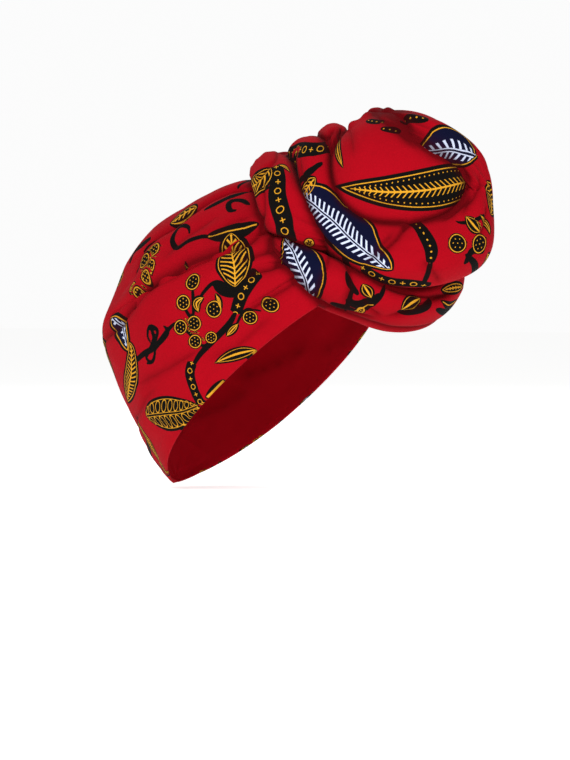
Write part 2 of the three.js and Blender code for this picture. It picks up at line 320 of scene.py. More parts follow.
def lay_creases(creases: Sequence[Relief], cloth: Array) -> tuple[Array, Array]:
    """Heights and crease depths of a whole piece.

    Args:
        creases: The creases and swells.
        cloth: Flat cloth places, in the last axis.

    Returns:
        The height of each place, and the depth of the creases there.
    """
    flat = cloth.reshape(-1, 2)
    height, creased = np.zeros(len(flat)), np.zeros(len(flat))
    for crease in creases:
        crease.lay(flat, height, creased)
    return height.reshape(cloth.shape[:-1]), creased.reshape(cloth.shape[:-1])


@dataclass(frozen=True)
class Gather:
    """Pleats that run along a strand where it is pinched."""

    start: float  # where they begin, in millimetres along the strand
    stop: float  # where they end
    pleats: int  # how many there are round the strand
    rise: float  # their height

    WANDER = 1.9
    EASE = 0.45

    def height(self, run: Array, degrees: Array) -> Array:
        """Height of the pleats.

        Args:
            run: Millimetres along the strand.
            degrees: Degrees round its section.

        Returns:
            A height for each place.
        """
        turn = np.radians(degrees)
        wander = self.WANDER * np.sin(2 * turn + self.pleats) + np.sin(3 * turn)
        wave = np.sin(self.pleats * turn + wander)
        strength = bump(run, self.start, self.stop, self.EASE * (self.stop - self.start))
        return self.rise * strength * (1 - 2 * np.abs(wave)) / 2


@dataclass(frozen=True)
class HeadForm:
    """The rounded form that the cap is stretched over."""

    side: float = 73.0  # half its width
    depth: float = 94.0  # half its length from front to back
    height: float = 105.0  # half its height
    top: float = -10.0  # height of its top

    def distance(self, start: Array, directions: Array) -> Array:
        """How far the form's surface is from a point inside it.

        Args:
            start: The point.
            directions: Directions of length 1, in the last axis.

        Returns:
            A distance for each direction.
        """
        half = np.array([self.side, self.depth, self.height])
        middle = np.array([0.0, 0.0, self.top - self.height])
        d, c = directions / half, (start - middle) / half
        a, b = (d * d).sum(-1), (d * c).sum(-1)
        return (-b + np.sqrt(b * b - a * (c @ c - 1))) / a


@dataclass(frozen=True)
class StandOff:
    """How far the cap's cloth stands off the head."""

    around: float  # degrees from the forehead end
    top: float  # distance from the head on the top line
    rim: float  # distance from the head at the rim


@dataclass(frozen=True)
class CapFold:
    """A fold of the cap: its path, the step up past it, and where it dies out.

    Attributes:
        path: Degrees from the forehead end, and degrees up from the right rim.
        rise: The height that the cloth steps up.
        ends: Degrees from the forehead end where the fold has died out.
        over: 1 where the step is on the side toward the left rim, else -1.
    """

    path: tuple[tuple[float, float], ...]
    rise: float
    ends: float
    over: int = 1

    def angle(self, around: Array) -> Array:
        """Degrees up from the right rim where the fold is."""
        return np.interp(around, [row[0] for row in self.path], [row[1] for row in self.path])


@dataclass(frozen=True)
class Ripple:
    """A soft ridge or hollow of the cap's cloth, with no overlap.

    Attributes:
        path: Degrees from the forehead end, and degrees up from the right rim.
        rise: Height of the ridge, or below 0 the depth of the hollow.
        wide: Half its width, in millimetres.
    """

    path: tuple[tuple[float, float], ...]
    rise: float
    wide: float


@dataclass(frozen=True)
class Section:
    """One section of a strand, in axes turned about the vertical."""

    along: float  # place toward the forehead
    out: float  # place toward the wearer's right
    up: float  # height
    thick: float  # size away from the hub that the strand winds round
    wide: float  # size across that
    roll: float = 0.0  # turn of the section


@dataclass(frozen=True)
class Tuck:
    """A crease along the whole length of a strand."""

    at: float  # degrees round the section
    deep: float  # depth of the crease
    wide: float = 3.5  # reach of the crease to either side, in millimetres

    EASE = 0.3

    def depth(self, share: Array, degrees: Array, girth: Array) -> Array:
        """Depth of the crease."""
        apart = np.abs((degrees - self.at + 180) % 360 - 180) * girth / 360
        return self.deep * bump(share, 0.0, 1.0, self.EASE) * np.exp(-apart / self.wide)


def placed(along: Number, out: Number, up: Number) -> Array:
    """A point of the knot's own axes in the frame's axes."""
    return turned(np.stack(np.broadcast_arrays(along, -np.asarray(out), up), axis=-1), -KNOT_TURN)


@dataclass
class Dressed:
    """A piece that has been built."""

    thing: bpy.types.Object  # the Blender object
    cloth: Array  # flat cloth places of all vertices, in millimetres
    creased: Array  # depth of the creases at all vertices, in millimetres, with the seams added; it sets the painted shade
    plain: Array  # whether each vertex is on the unprinted side


def woven(name: str, net: Net, index: Array, lift: float) -> Dressed:
    """Makes a mesh of a net, whose columns close on themselves.

    Args:
        name: The new object's name.
        net: The net.
        index: The number of the point at each row and column; merged points share one.
        lift: Height added to every point, in millimetres.

    Returns:
        The built piece, shaded smooth, with a map for baking.
    """
    rows, columns = index.shape
    right = np.roll(index, -1, axis=1)
    quads = np.stack([index[:-1], right[:-1], right[1:], index[1:]], axis=-1).reshape(-1, 4)
    j, i = np.meshgrid(np.arange(columns), np.arange(rows - 1))
    steps = ((0, 0), (1, 0), (1, 1), (0, 1))
    maps = np.stack([np.stack([j + a, i + b], axis=-1) for a, b in steps], axis=2)
    maps = (maps / np.array([columns, rows - 1])).reshape(-1, 4, 2)
    used, quads = np.unique(quads, return_inverse=True)
    faces, corners = [], []
    for corner, place in zip(quads.reshape(-1, 4).tolist(), maps.tolist()):
        kept = [k for k in range(4) if corner[k] != corner[k - 1]]
        faces.append([corner[k] for k in kept])
        corners.extend(place[k] for k in kept)
    points = net.points.reshape(-1, 3)[used] + [0, 0, lift]
    mesh = bpy.data.meshes.new(name)
    mesh.from_pydata((points * METRES).tolist(), [], faces)
    mesh.uv_layers.new(name="OFBake").data.foreach_set("uv", np.array(corners, np.float32).ravel())
    mesh.shade_smooth()
    thing = bpy.data.objects.new(name, mesh)
    bpy.context.scene.collection.objects.link(thing)
    plain = np.zeros(columns, bool) if net.plain is None else net.plain
    return Dressed(thing, net.cloth.reshape(-1, 2)[used], net.creased.reshape(-1)[used],
                   np.tile(plain, rows)[used])


@dataclass
class Cap:
    """The cloth cap, stretched over the head, with folds that gather at the knot.

    Attributes:
        head: The form under the cap.
        stand_off: How far the cloth stands off the head, from the forehead to the nape.
        folds: The folds, from the right rim over the top to the left rim.
        ripples: Soft ridges and hollows between the folds.
        creases: Creases and swells on the right half of its flat cloth.
        cloth: Thickness of the cloth and its turned edge.
        tilt: Lean of the rim, degrees from level.
        middle: Centre of the rim.
        curl: How quickly the cloth past a fold curls up.
        reach: How slowly it eases down again.
        roll: How far it hangs over the fold.
        valley: Depth of the hollow in front of a fold, as a share of its rise.
        fade: Share of a fold's length after which it dies out.
        rim_flat: Share of the way up where the folds have their full height.
        shoulder: How soon the cap's height rises from the rim.
        radius: Radius of the head that the flat cloth is measured on.
        first_up: Degrees up where the flat cloth's first axis begins.
        hem: Width of the hem.
        hem_rise: How far the hem stands up.
        broad: Broad waves of the cloth.
        broad_rise: Their height.
        small: Small waves of the cloth.
        small_rise: Their height.
        rows: Rows of points from the forehead to the nape.
        columns: Columns of points between two folds.
        inner_columns: Columns of the inner face.
    """

    head: HeadForm
    stand_off: tuple[StandOff, ...]
    folds: tuple[CapFold, ...]
    ripples: tuple[Ripple, ...]
    creases: tuple[Relief, ...]
    cloth: float = 2.0
    tilt: float = 42.5
    middle: tuple[float, float, float] = (0.0, -13.5, -129.7)
    curl: float = 2.6
    reach: float = 28.0
    roll: float = 1.5
    valley: float = 0.35
    fade: float = 0.55
    rim_flat: float = 1 / 3
    shoulder: float = 0.8
    radius: float = 98.0
    first_up: float = 35.0
    hem: float = 8.0
    hem_rise: float = 0.35
    broad: Unevenness = Unevenness(3, 5, 14, joined=False)
    broad_rise: float = 0.45
    small: Unevenness = Unevenness(4, 12, 44, joined=False)
    small_rise: float = 0.16
    rows: int = 230
    columns: int = 40
    inner_columns: int = 56

    RIPPLE_EASE = 12.0
    SPREAD = 0.5
    HEM_TURNS = (45.0, 90.0, 135.0)

    def mirrored(self, crease: Crease) -> Crease:
        """The same crease on the other half of the cap.

        Args:
            crease: A crease on the right half.

        Returns:
            The crease on the left half.
        """
        whole = math.radians(180 - 2 * self.first_up) * self.radius
        line = tuple((whole * math.sin(y / self.radius) - x, y) for x, y in crease.line[::-1])
        return Crease(crease.deep, crease.wide, crease.lip, crease.fall, line)

    def reliefs(self) -> tuple[Relief, ...]:
        """The creases and swells, with the creases mirrored on the left half too."""
        far = (self.mirrored(crease) for crease in self.creases if isinstance(crease, Crease))
        return (*self.creases, *far)

    def directions(self, around: Array, up: Array) -> Array:
        """Directions from the rim's centre.

        Args:
            around: Degrees from the forehead end of the rim.
            up: Degrees up from the right rim.

        Returns:
            A direction of length 1 for each place.
        """
        a, u, t = np.radians(around), np.radians(up), math.radians(self.tilt)
        front = np.array([0.0, -math.cos(t), math.sin(t)])
        lift = np.array([0.0, math.sin(t), math.cos(t)])
        right = np.array([-1.0, 0.0, 0.0])
        return (np.cos(a)[..., None] * front + (np.sin(a) * np.sin(u))[..., None] * lift
                + (np.sin(a) * np.cos(u))[..., None] * right)

    def stand(self, around: Array, up: Array) -> Array:
        """How far the cloth stands off the head, without its folds.

        Args:
            around: Degrees from the forehead end.
            up: Degrees up from the right rim.

        Returns:
            A distance for each place.
        """
        rows = self.stand_off
        at = [row.around for row in rows]
        top, rim = (np.interp(around, at, [getattr(row, key) for row in rows])
                    for key in ("top", "rim"))
        return rim + (top - rim) * self.rise(up)

    def rise(self, up: Array) -> Array:
        """0 at the rim and 1 on the top line."""
        return np.maximum(0.0, np.sin(np.radians(up))) ** self.shoulder

    def across(self, around: Array, up: Array, angle: Array, distance: Array) -> Array:
        """Millimetres from a path on the cap, toward the left rim."""
        return np.radians(up - angle) * np.sin(np.radians(around)) * distance

    def relief(self, around: Array, up: Array, distance: Array) -> tuple[Array, Array]:
        """What the folds do to the cloth.

        Args:
            around: Degrees from the forehead end.
            up: Degrees up from the right rim.
            distance: Distance of the head from the rim's centre.

        Returns:
            The height added, and the slide toward the left rim in millimetres.
        """
        height, slide = np.zeros_like(distance), np.zeros_like(distance)
        for fold in self.folds:
            past = self.across(around, up, fold.angle(around), distance) * fold.over
            strength = 1 - smoothstep(around, fold.ends * self.fade, fold.ends)
            curl = np.exp(-np.abs(past) / self.curl)
            ridge = (1 - (1 + self.valley) * curl) * np.exp(-past / self.reach)
            height += fold.rise * strength * np.where(past > 0, ridge, -self.valley * curl)
            turn = np.maximum(past, 0) / self.curl
            slide -= self.roll * strength * fold.over * turn * np.exp(1 - turn)
        for ripple in self.ripples:
            at = [row[0] for row in ripple.path]
            angle = np.interp(around, at, [row[1] for row in ripple.path])
            past = self.across(around, up, angle, distance) / ripple.wide
            height += ripple.rise * np.exp(-past * past) * bump(around, at[0], at[-1], self.RIPPLE_EASE)
        return height, slide

    def face(self, around: Array, up: Array, inward: float = 0.0, fine: bool = True) -> Array:
        """Points of the cap's outer face, or so far inside it.

        Args:
            around: Degrees from the forehead end.
            up: Degrees up from the right rim.
            inward: Distance inside the outer face.
            fine: Whether the cloth's unevenness and hem are added.

        Returns:
            A point for each place.
        """
        around, up = np.broadcast_arrays(np.asarray(around, float), np.asarray(up, float))
        start = np.array(self.middle)
        distance = self.head.distance(start, self.directions(around, up))
        free = np.minimum(1.0, self.rise(up) / self.rim_flat)
        height, slide = self.relief(around, up, distance)
        if fine:
            size = np.maximum(distance * np.sin(np.radians(around)), self.hem)
            edge = np.radians(90 - np.abs(up - 90)) * size
            creased = lay_creases(self.reliefs(), self.flat(around, up))[0]
            height += self.unevenness(around, up) + creased
            height = height * free + self.hem_rise * (1 - smoothstep(edge, self.hem - 1, self.hem))
            up = up + np.degrees(slide * free / size)
        else:
            height = height * free
        directions = self.directions(around, up)
        out = distance + self.stand(around, up) + height - inward
        return start + directions * out[..., None]

    def unevenness(self, around: Array, up: Array) -> Array:
        """Low soft waves of cloth under tension, longer along the folds than across."""
        a, u = around / 180, up / 180
        return self.broad_rise * self.broad.at(a, u) + self.small_rise * self.small.at(a, u)

    def seat(self) -> float:
        """Height of the highest point of the inner face, on the top line."""
        around = np.linspace(0, 180, 181)
        return float(self.face(around, 90.0, self.cloth, fine=False)[:, 2].max())

    def flat(self, around: Array, up: Array) -> Array:
        """Flat cloth places in millimetres."""
        x = np.radians(up - self.first_up) * self.radius * np.sin(np.radians(around))
        return np.stack([x, np.radians(around) * self.radius], axis=-1)

    def spread(self, around: Array) -> Array:
        """Degrees up of the outer face's columns, closer together at the folds.

        Args:
            around: Degrees from the forehead end, for each row.

        Returns:
            Degrees up, rows by columns.
        """
        stops = [np.zeros_like(around), *(fold.angle(around) for fold in self.folds),
                 np.full_like(around, 180.0)]
        share = np.arange(self.columns) / self.columns
        share = share - self.SPREAD * np.sin(2 * math.pi * share) / (2 * math.pi)
        parts = [a[:, None] + (b - a)[:, None] * share for a, b in zip(stops, stops[1:])]
        return np.concatenate([*parts, stops[-1][:, None]], axis=1)

    def hemmed(self, start: Array, stop: Array, down: Array) -> Array:
        """Columns of the rounded edge between two faces.

        Args:
            start: The edge's points on the first face.
            stop: The edge's points on the second face.
            down: Directions out of the cloth's edge.

        Returns:
            A column of points for each of the edge's turns.
        """
        turn = np.radians(self.HEM_TURNS)[:, None, None]
        middle, half = (start + stop) / 2, (start - stop) / 2
        out = unit(down) * np.linalg.norm(half, axis=-1, keepdims=True)
        return np.moveaxis(middle + half * np.cos(turn) + out * np.sin(turn), 0, 1)

    def build(self, name: str, lift: float) -> Dressed:
        """Makes the cap: outer face, inner face and a rounded edge between them.

        Args:
            name: The new object's name.
            lift: Height added to every point.

        Returns:
            The built piece.
        """
        around = np.linspace(0, 180, self.rows)[:, None]
        outer_up = self.spread(around[:, 0])
        inner_up = np.tile(np.linspace(180, 0, self.inner_columns), (self.rows, 1))
        outer, inner = self.face(around, outer_up), self.face(around, inner_up, self.cloth)
        left = self.hemmed(outer[:, -1], inner[:, 0], outer[:, -1] - outer[:, -2])
        right = self.hemmed(inner[:, -1], outer[:, 0], outer[:, 0] - outer[:, 1])
        points = np.concatenate([outer, left, inner, right], axis=1)
        hem = np.zeros((self.rows, len(self.HEM_TURNS)))
        ups = np.concatenate([outer_up, hem + 180.0, inner_up, hem], axis=1)
        cloth = self.flat(np.broadcast_to(around, ups.shape), ups)
        first_inner = outer_up.shape[1] + len(self.HEM_TURNS)
        column = np.arange(ups.shape[1])
        plain = (column >= first_inner) & (column < first_inner + self.inner_columns)
        net = Net(points, cloth, lay_creases(self.reliefs(), cloth)[1], plain)
        index = net.numbers()
        for row in (0, -1):
            index[row, :first_inner] = index[row, 0]
            index[row, first_inner:] = index[row, first_inner]
        return woven(name, net, index, lift)


@dataclass
class Strand:
    """A wound strand of rolled cloth."""

    name: str  # name of the piece and of the solid that it stands for
    hub: tuple[float, float, float]  # point that the strand winds round, as along, out and up
    rows: tuple[Section, ...]  # its sections
    tucks: tuple[Tuck, ...] = ()  # creases along its whole length
    creases: tuple[Relief, ...] = ()  # creases along lines on its flat cloth
    gathers: tuple[Gather, ...] = ()  # its pleats
    seed: int = 1  # the number that picks its unevenness
    wrinkle: float = 0.75  # height of its small wrinkles
    wave: float = 45.0  # length of a long wave of the cloth
    slow: float = 0.8  # share of the long waves in the wrinkles
    fine: float = 0.4  # share of the short waves
    end: float = 11.0  # length of its rounded ends
    squareness: float = 2.3  # power of its sections' outline; 2 is an ellipse
    print_depth: float = 0.3  # share of its thickness out from the centre where its run is measured
    step: float = 1.15  # length from a row of points to the next
    sides: int = 150  # points round a section
    end_steps: int = 12  # rows of points on a rounded end

    SLOW_CELLS = 9
    FINE_CELLS = 24
    FINE_SEED = 50
    SLOW_TWIST = 0.5
    FINE_TWIST = 0.4

    def curves(self) -> tuple[Spline, Spline]:
        """The centre-line, and the sizes along it.

        Returns:
            A curve of places, and a curve of thickness, width and roll.
        """
        rows = self.rows
        line = np.stack([placed(row.along, row.out, row.up) for row in rows])
        sizes = np.array([[row.thick, row.wide, row.roll] for row in rows])
        return Spline(line), Spline(sizes)

    def frames(self, distance: Array) -> tuple[Array, Array, Array, Array]:
        """Places and axes along the strand.

        Args:
            distance: Millimetres from its first end.

        Returns:
            The centre-line's points, the directions away from the hub and across, and sizes.
        """
        line, sizes = self.curves()
        share, length = line.even()
        at = np.interp(distance, length, share)
        centre, nudge = line.at(at), 1e-4
        forward = unit(line.at(at + nudge) - line.at(at - nudge))
        away = centre - placed(*self.hub)
        away = unit(away - (away * forward).sum(1, keepdims=True) * forward)
        size = sizes.at(at)
        away = rotated(away, forward, size[:, 2])
        return centre, away, np.cross(forward, away), size

    def length(self) -> float:
        """Length of the centre-line."""
        return float(self.curves()[0].even()[1][-1])

    def around(self) -> Array:
        """Degrees round the section; the seam is on the hub's side."""
        return np.linspace(-180, 180, self.sides, endpoint=False)

    def places(self) -> tuple[Array, Array]:
        """Places of the rows of points.

        Returns:
            Distances along the strand, and how far each section has grown from the tip.
        """
        turn = np.radians(np.linspace(0, 90, self.end_steps, endpoint=False))
        whole = self.length()
        steps = round(whole / self.step)
        middle = np.linspace(self.end, whole - self.end, steps)
        near = self.end * (1 - np.cos(turn))
        return (np.concatenate([near, middle, whole - near[::-1]]),
                np.concatenate([np.sin(turn), np.ones(steps), np.sin(turn)[::-1]]))

    def net(self) -> Net:
        """The strand's surface with its creases and unevenness.

        Returns:
            The net, with rows along the strand and columns round it.
        """
        distance, grown = self.places()
        centre, away, across, size = self.frames(distance)
        degrees = self.around()
        c, s = np.cos(np.radians(degrees)), np.sin(np.radians(degrees))
        power = 2 / self.squareness
        c, s = np.sign(c) * np.abs(c) ** power, np.sign(s) * np.abs(s) ** power
        half = size[:, :2] / 2 * grown[:, None]
        points = (centre[:, None] + away[:, None] * (c * half[:, :1])[..., None]
                  + across[:, None] * (s * half[:, 1:])[..., None])
        girth = np.linalg.norm(np.roll(points, -1, axis=1) - points, axis=-1).sum(1)
        outside = centre + away * size[:, :1] * self.print_depth
        steps = np.linalg.norm(np.diff(outside, axis=0), axis=1)
        run = np.concatenate([[0.0], np.cumsum(steps)])[:, None]
        cloth = np.stack(np.broadcast_arrays(run, degrees * girth[:, None] / 360), -1)
        height, creased = lay_creases(self.creases, cloth)
        share = (distance / self.length())[:, None]
        for tuck in self.tucks:
            depth = tuck.depth(share, degrees[None], girth[:, None])
            height, creased = height - depth, creased + depth
        for gather in self.gathers:
            height += gather.height(run, degrees[None])
        height += self.wrinkle * self.unevenness(share, (degrees[None] + 180) / 360)
        net = Net(points, cloth, creased)
        net.points = points + net.normals() * (height * grown[:, None] ** 2)[..., None]
        return net

    def unevenness(self, share: Array, turn: Array) -> Array:
        """Soft waves that run along the strand, and smaller ones across them.

        Args:
            share: Share of the strand's length.
            turn: Share of the way round.

        Returns:
            A height between about -1 and 1.
        """
        cells = max(3, round(self.length() / self.wave))
        slow = Unevenness(self.seed, cells, self.SLOW_CELLS)
        fine = Unevenness(self.seed + self.FINE_SEED, 2 * cells, self.FINE_CELLS)
        return (self.slow * slow.at(share, turn + self.SLOW_TWIST * share)
                + self.fine * fine.at(share, turn - self.FINE_TWIST * share))

    def build(self, name: str, lift: float) -> Dressed:
        """Makes the strand's mesh, lifted to its height."""
        net = self.net()
        return woven(name, net, net.closed(), lift)


@dataclass
class KnotDome:
    """The middle of the knot: an egg-shaped ball of gathered cloth that leans back."""

    name: str = "knot_centre"  # name of the solid that it stands for
    along: float = 94.0  # its middle's place toward the forehead
    out: float = 50.0  # its middle's place toward the wearer's right
    up: float = 2.0  # its middle's height
    half_along: float = 47.0  # half its length
    half_up: float = 46.0  # half its height
    front: float = 41.0  # its reach toward the wearer's right
    back: float = 58.0  # its reach into the knot
    lean: float = 29.0  # degrees that it leans back
    waves: Unevenness = Unevenness(31, 6, 7)  # the cloth's unevenness
    wave_rise: float = 0.6  # height of the unevenness
    rows: int = 200  # rows of points from pole to pole
    sides: int = 200  # points round a row
    creases: tuple[Relief, ...] = ()  # creases and swells on its flat cloth

    def net(self) -> Net:
        """The ball's surface, from the pole that faces the wearer's right.

        Returns:
            The net, with rows from pole to pole and columns round it.
        """
        a = np.radians(np.linspace(0, 180, self.rows))[:, None]
        b = np.radians(np.linspace(360, 0, self.sides, endpoint=False))[None]
        depth = np.where(a < math.pi / 2, self.front, self.back)
        x, y, z = np.broadcast_arrays(self.half_along * np.sin(a) * np.cos(b), -depth * np.cos(a),
                                      self.half_up * np.sin(a) * np.sin(b))
        c, s = math.cos(math.radians(-self.lean)), math.sin(math.radians(-self.lean))
        tipped = np.stack([x + self.along, c * y - s * z - self.out, s * y + c * z + self.up], -1)
        radius = self.half_along * a
        cloth = np.stack([radius * np.cos(b), radius * np.sin(b)], axis=-1)
        height, creased = lay_creases(self.creases, cloth)
        net = Net(turned(tipped, -KNOT_TURN), cloth, creased)
        height += self.wave_rise * self.waves.at(a / math.pi, b / (2 * math.pi))
        net.points = net.points + net.normals() * (height * np.sin(a) ** 0.5)[..., None]
        return net

    def build(self, name: str, lift: float) -> Dressed:
        """Makes the ball's mesh, lifted to its height."""
        net = self.net()
        return woven(name, net, net.closed(), lift)


@dataclass(frozen=True)
class SeamShade:
    """The painted shade where a piece lies against another, kept with the piece's creases."""

    touching: float = 0.6  # distance at which two pieces count as touching, in millimetres
    reach: float = 3.2  # how far past that the shade fades out
    deep: float = 2.5  # depth of crease that touching counts as
    every: int = 3  # one in so many of a neighbour's points is measured to

    def lay(self, pieces: Sequence[Dressed]) -> None:
        """Adds the painted shade to every piece's creases.

        Args:
            pieces: All pieces.
        """
        places = [self.places(piece) for piece in pieces]
        for piece, own in zip(pieces, places):
            low, high = own.min(0) - 2 * self.reach, own.max(0) + 2 * self.reach
            others = np.concatenate([other[::self.every] for other in places if other is not own])
            others = others[((others > low) & (others < high)).all(1)]
            tree = KDTree(len(others))
            for index, place in enumerate(others.tolist()):
                tree.insert(place, index)
            tree.balance()
            apart = np.array([tree.find(place)[2] or 0.0 for place in own.tolist()])
            past = np.maximum(apart - self.touching, 0) / self.reach
            # Painted shade: closeness to a neighbour is counted as crease depth, which darkens the base
            # colour.
            piece.creased += self.deep * np.exp(-past ** 2)

    def places(self, piece: Dressed) -> Array:
        """Places of a piece's vertices.

        Args:
            piece: The built piece.

        Returns:
            A place in millimetres in each row.
        """
        flat = np.empty(len(piece.thing.data.vertices) * 3, np.float32)
        piece.thing.data.vertices.foreach_get("co", flat)
        return flat.reshape(-1, 3) / METRES


class Ornament(Enum):
    """The kinds of printed ornament; each has an attribute of its own on a piece's mesh."""

    RING_BAND = "ring_band"
    DOT_BAND = "dot_band"
    GOLD_FERN = "gold_fern"
    WHITE_FERN = "white_fern"
    LOOP_LEAF = "loop_leaf"
    RIB_LEAF = "rib_leaf"
    ALMOND = "almond"
    LINED = "lined"
    SEED = "seed"
    INK = "ink"


@dataclass(frozen=True)
class Stamp:
    """One ornament, laid along a line on a piece's flat cloth."""

    kind: Ornament  # the ornament
    line: Line  # points of the line on the flat cloth, in millimetres; a seed has one
    wide: float  # half the ornament's width, or a seed's radius
    belly: float = 1.0  # above 1 the widest place is past the middle of the line, below 1 before it

    MARGIN = 2.6
    SEED_MARGIN = 1.0
    END_TAPER = 3.0
    THIN_END = 0.25
    FERN_POWER = 0.45
    LEAF_POWER = 0.7

    def lay(self, cloth: Array, values: Array) -> None:
        """Writes the ornament's own axes at the places that it reaches.

        Args:
            cloth: Flat cloth places, one in each row.
            values: Distance along, distance to the side and half width, for each place; a
                seed has its two local distances and its radius.
        """
        reach = self.wide + self.MARGIN
        if self.kind is Ornament.SEED:
            reach = self.wide + self.SEED_MARGIN
            local = cloth - self.line[0]
            near = np.flatnonzero((np.abs(local) < reach).all(1))
            near = near[np.hypot(*local[near].T) < reach]
            values[near] = np.column_stack([local[near], np.full(len(near), self.wide)])
            return
        trail = Trail(self.line, cloth, reach)
        along, side = trail.along, trail.side
        past = np.maximum(-along, along - trail.length)
        share = np.clip(along / trail.length, 0, 1)
        width = self.width(share) - self.END_TAPER * np.maximum(past, 0)
        if self.kind is Ornament.INK:
            ink = np.column_stack([width - np.abs(side)] * 3)
            values[trail.near] = np.maximum(values[trail.near], np.maximum(ink, -self.MARGIN))
            return
        kept = (np.abs(side) < reach) & (past < self.MARGIN)
        values[trail.near[kept]] = np.column_stack([along, side, width])[kept]

    def meets(self, places: Array, other: "Stamp") -> bool:
        """Whether the ornament touches another, when it is moved."""
        apart = np.linalg.norm(places[:, None] - np.array(other.line)[None], axis=-1)
        return bool(apart.min() < self.wide + other.wide + self.MARGIN)

    def width(self, share: Array) -> Array:
        """Half the width along the line.

        Args:
            share: Share of the line's length.

        Returns:
            A half width for each place.
        """
        if self.kind is Ornament.RING_BAND:
            return np.full_like(share, self.wide)
        turn = share ** self.belly
        full = np.maximum(0, 4 * turn * (1 - turn))
        if self.kind in (Ornament.INK, Ornament.DOT_BAND):
            return self.wide * (self.THIN_END + (1 - self.THIN_END) * np.sqrt(full))
        power = self.FERN_POWER if self.kind is Ornament.GOLD_FERN else self.LEAF_POWER
        return self.wide * full ** power


@dataclass(frozen=True)
class Box:
    """A rectangle of flat cloth, in millimetres."""

    left: float  # where it begins on the first axis
    low: float  # where it begins on the second axis
    right: float  # where it ends on the first axis
    high: float  # where it ends on the second axis

    def holds(self, places: Array, reach: float) -> bool:
        """Whether any place is in the rectangle or near it.

        Args:
            places: The places.
            reach: Distance that is near.

        Returns:
            Whether one is.
        """
        inside = (places > (self.left - reach, self.low - reach)) & (
            places < (self.right + reach, self.high + reach))
        return bool(inside.all(1).any())


@dataclass(frozen=True)
class Repeat:
    """The print's repeat, laid over the cloth in columns, each one half a repeat higher."""

    wide: float  # width of the repeat
    high: float  # its height
    stamps: tuple[Stamp, ...]  # its ornaments

    OVERLAP = 0.8

    def over(self, cloth: Array, placed: Sequence[Stamp], seen: Sequence[Box]) -> list[Stamp]:
        """The ornaments of the repeat that fall on free cloth.

        Args:
            cloth: Flat cloth places of the piece, one in each row.
            placed: Ornaments that have a place already.
            seen: Rectangles where only those stand.

        Returns:
            Those ornaments and the repeat's own.
        """
        kept = list(placed)
        low, high = cloth.min(0), cloth.max(0)
        for column in range(math.floor(low[0] / self.wide), math.ceil(high[0] / self.wide)):
            shift = 0.5 * self.high * (column % 2)
            for row in range(math.floor(low[1] / self.high) - 1, math.ceil(high[1] / self.high)):
                origin = np.array([column * self.wide, row * self.high + shift])
                for stamp in self.stamps:
                    places = np.array(stamp.line) + origin
                    free = not any(box.holds(places, self.OVERLAP * stamp.wide) for box in seen)
                    if free and not any(stamp.meets(places, other) for other in placed):
                        line = tuple((float(x), float(y)) for x, y in places)
                        kept.append(Stamp(stamp.kind, line, stamp.wide, stamp.belly))
        return kept


def lay_print(piece: Dressed, stamps: Sequence[Stamp]) -> None:
    """Gives a piece's mesh its cloth places, its crease depths for the painted shade, and the axes of
    its ornaments.

    Args:
        piece: The built piece.
        stamps: Its ornaments.
    """
    mesh = piece.thing.data
    flat = np.column_stack([piece.cloth, np.zeros(len(piece.cloth))])
    mesh.attributes.new("cloth", "FLOAT_VECTOR", "POINT").data.foreach_set(
        "vector", flat.astype(np.float32).ravel())
    # The crease depths, with the seams', set the painted shade in the material.
    mesh.attributes.new("creased", "FLOAT", "POINT").data.foreach_set(
        "value", piece.creased.astype(np.float32))
    for kind in Ornament:
        chosen = [stamp for stamp in stamps if stamp.kind is kind]
        if not chosen:
            continue
        empty = -Stamp.MARGIN if kind is Ornament.INK else 0.0
        values = np.full((len(piece.cloth), 3), empty)
        for stamp in chosen:
            stamp.lay(piece.cloth, values)
        values[piece.plain] = empty
        mesh.attributes.new(kind.value, "FLOAT_VECTOR", "POINT").data.foreach_set(
            "vector", values.astype(np.float32).ravel())


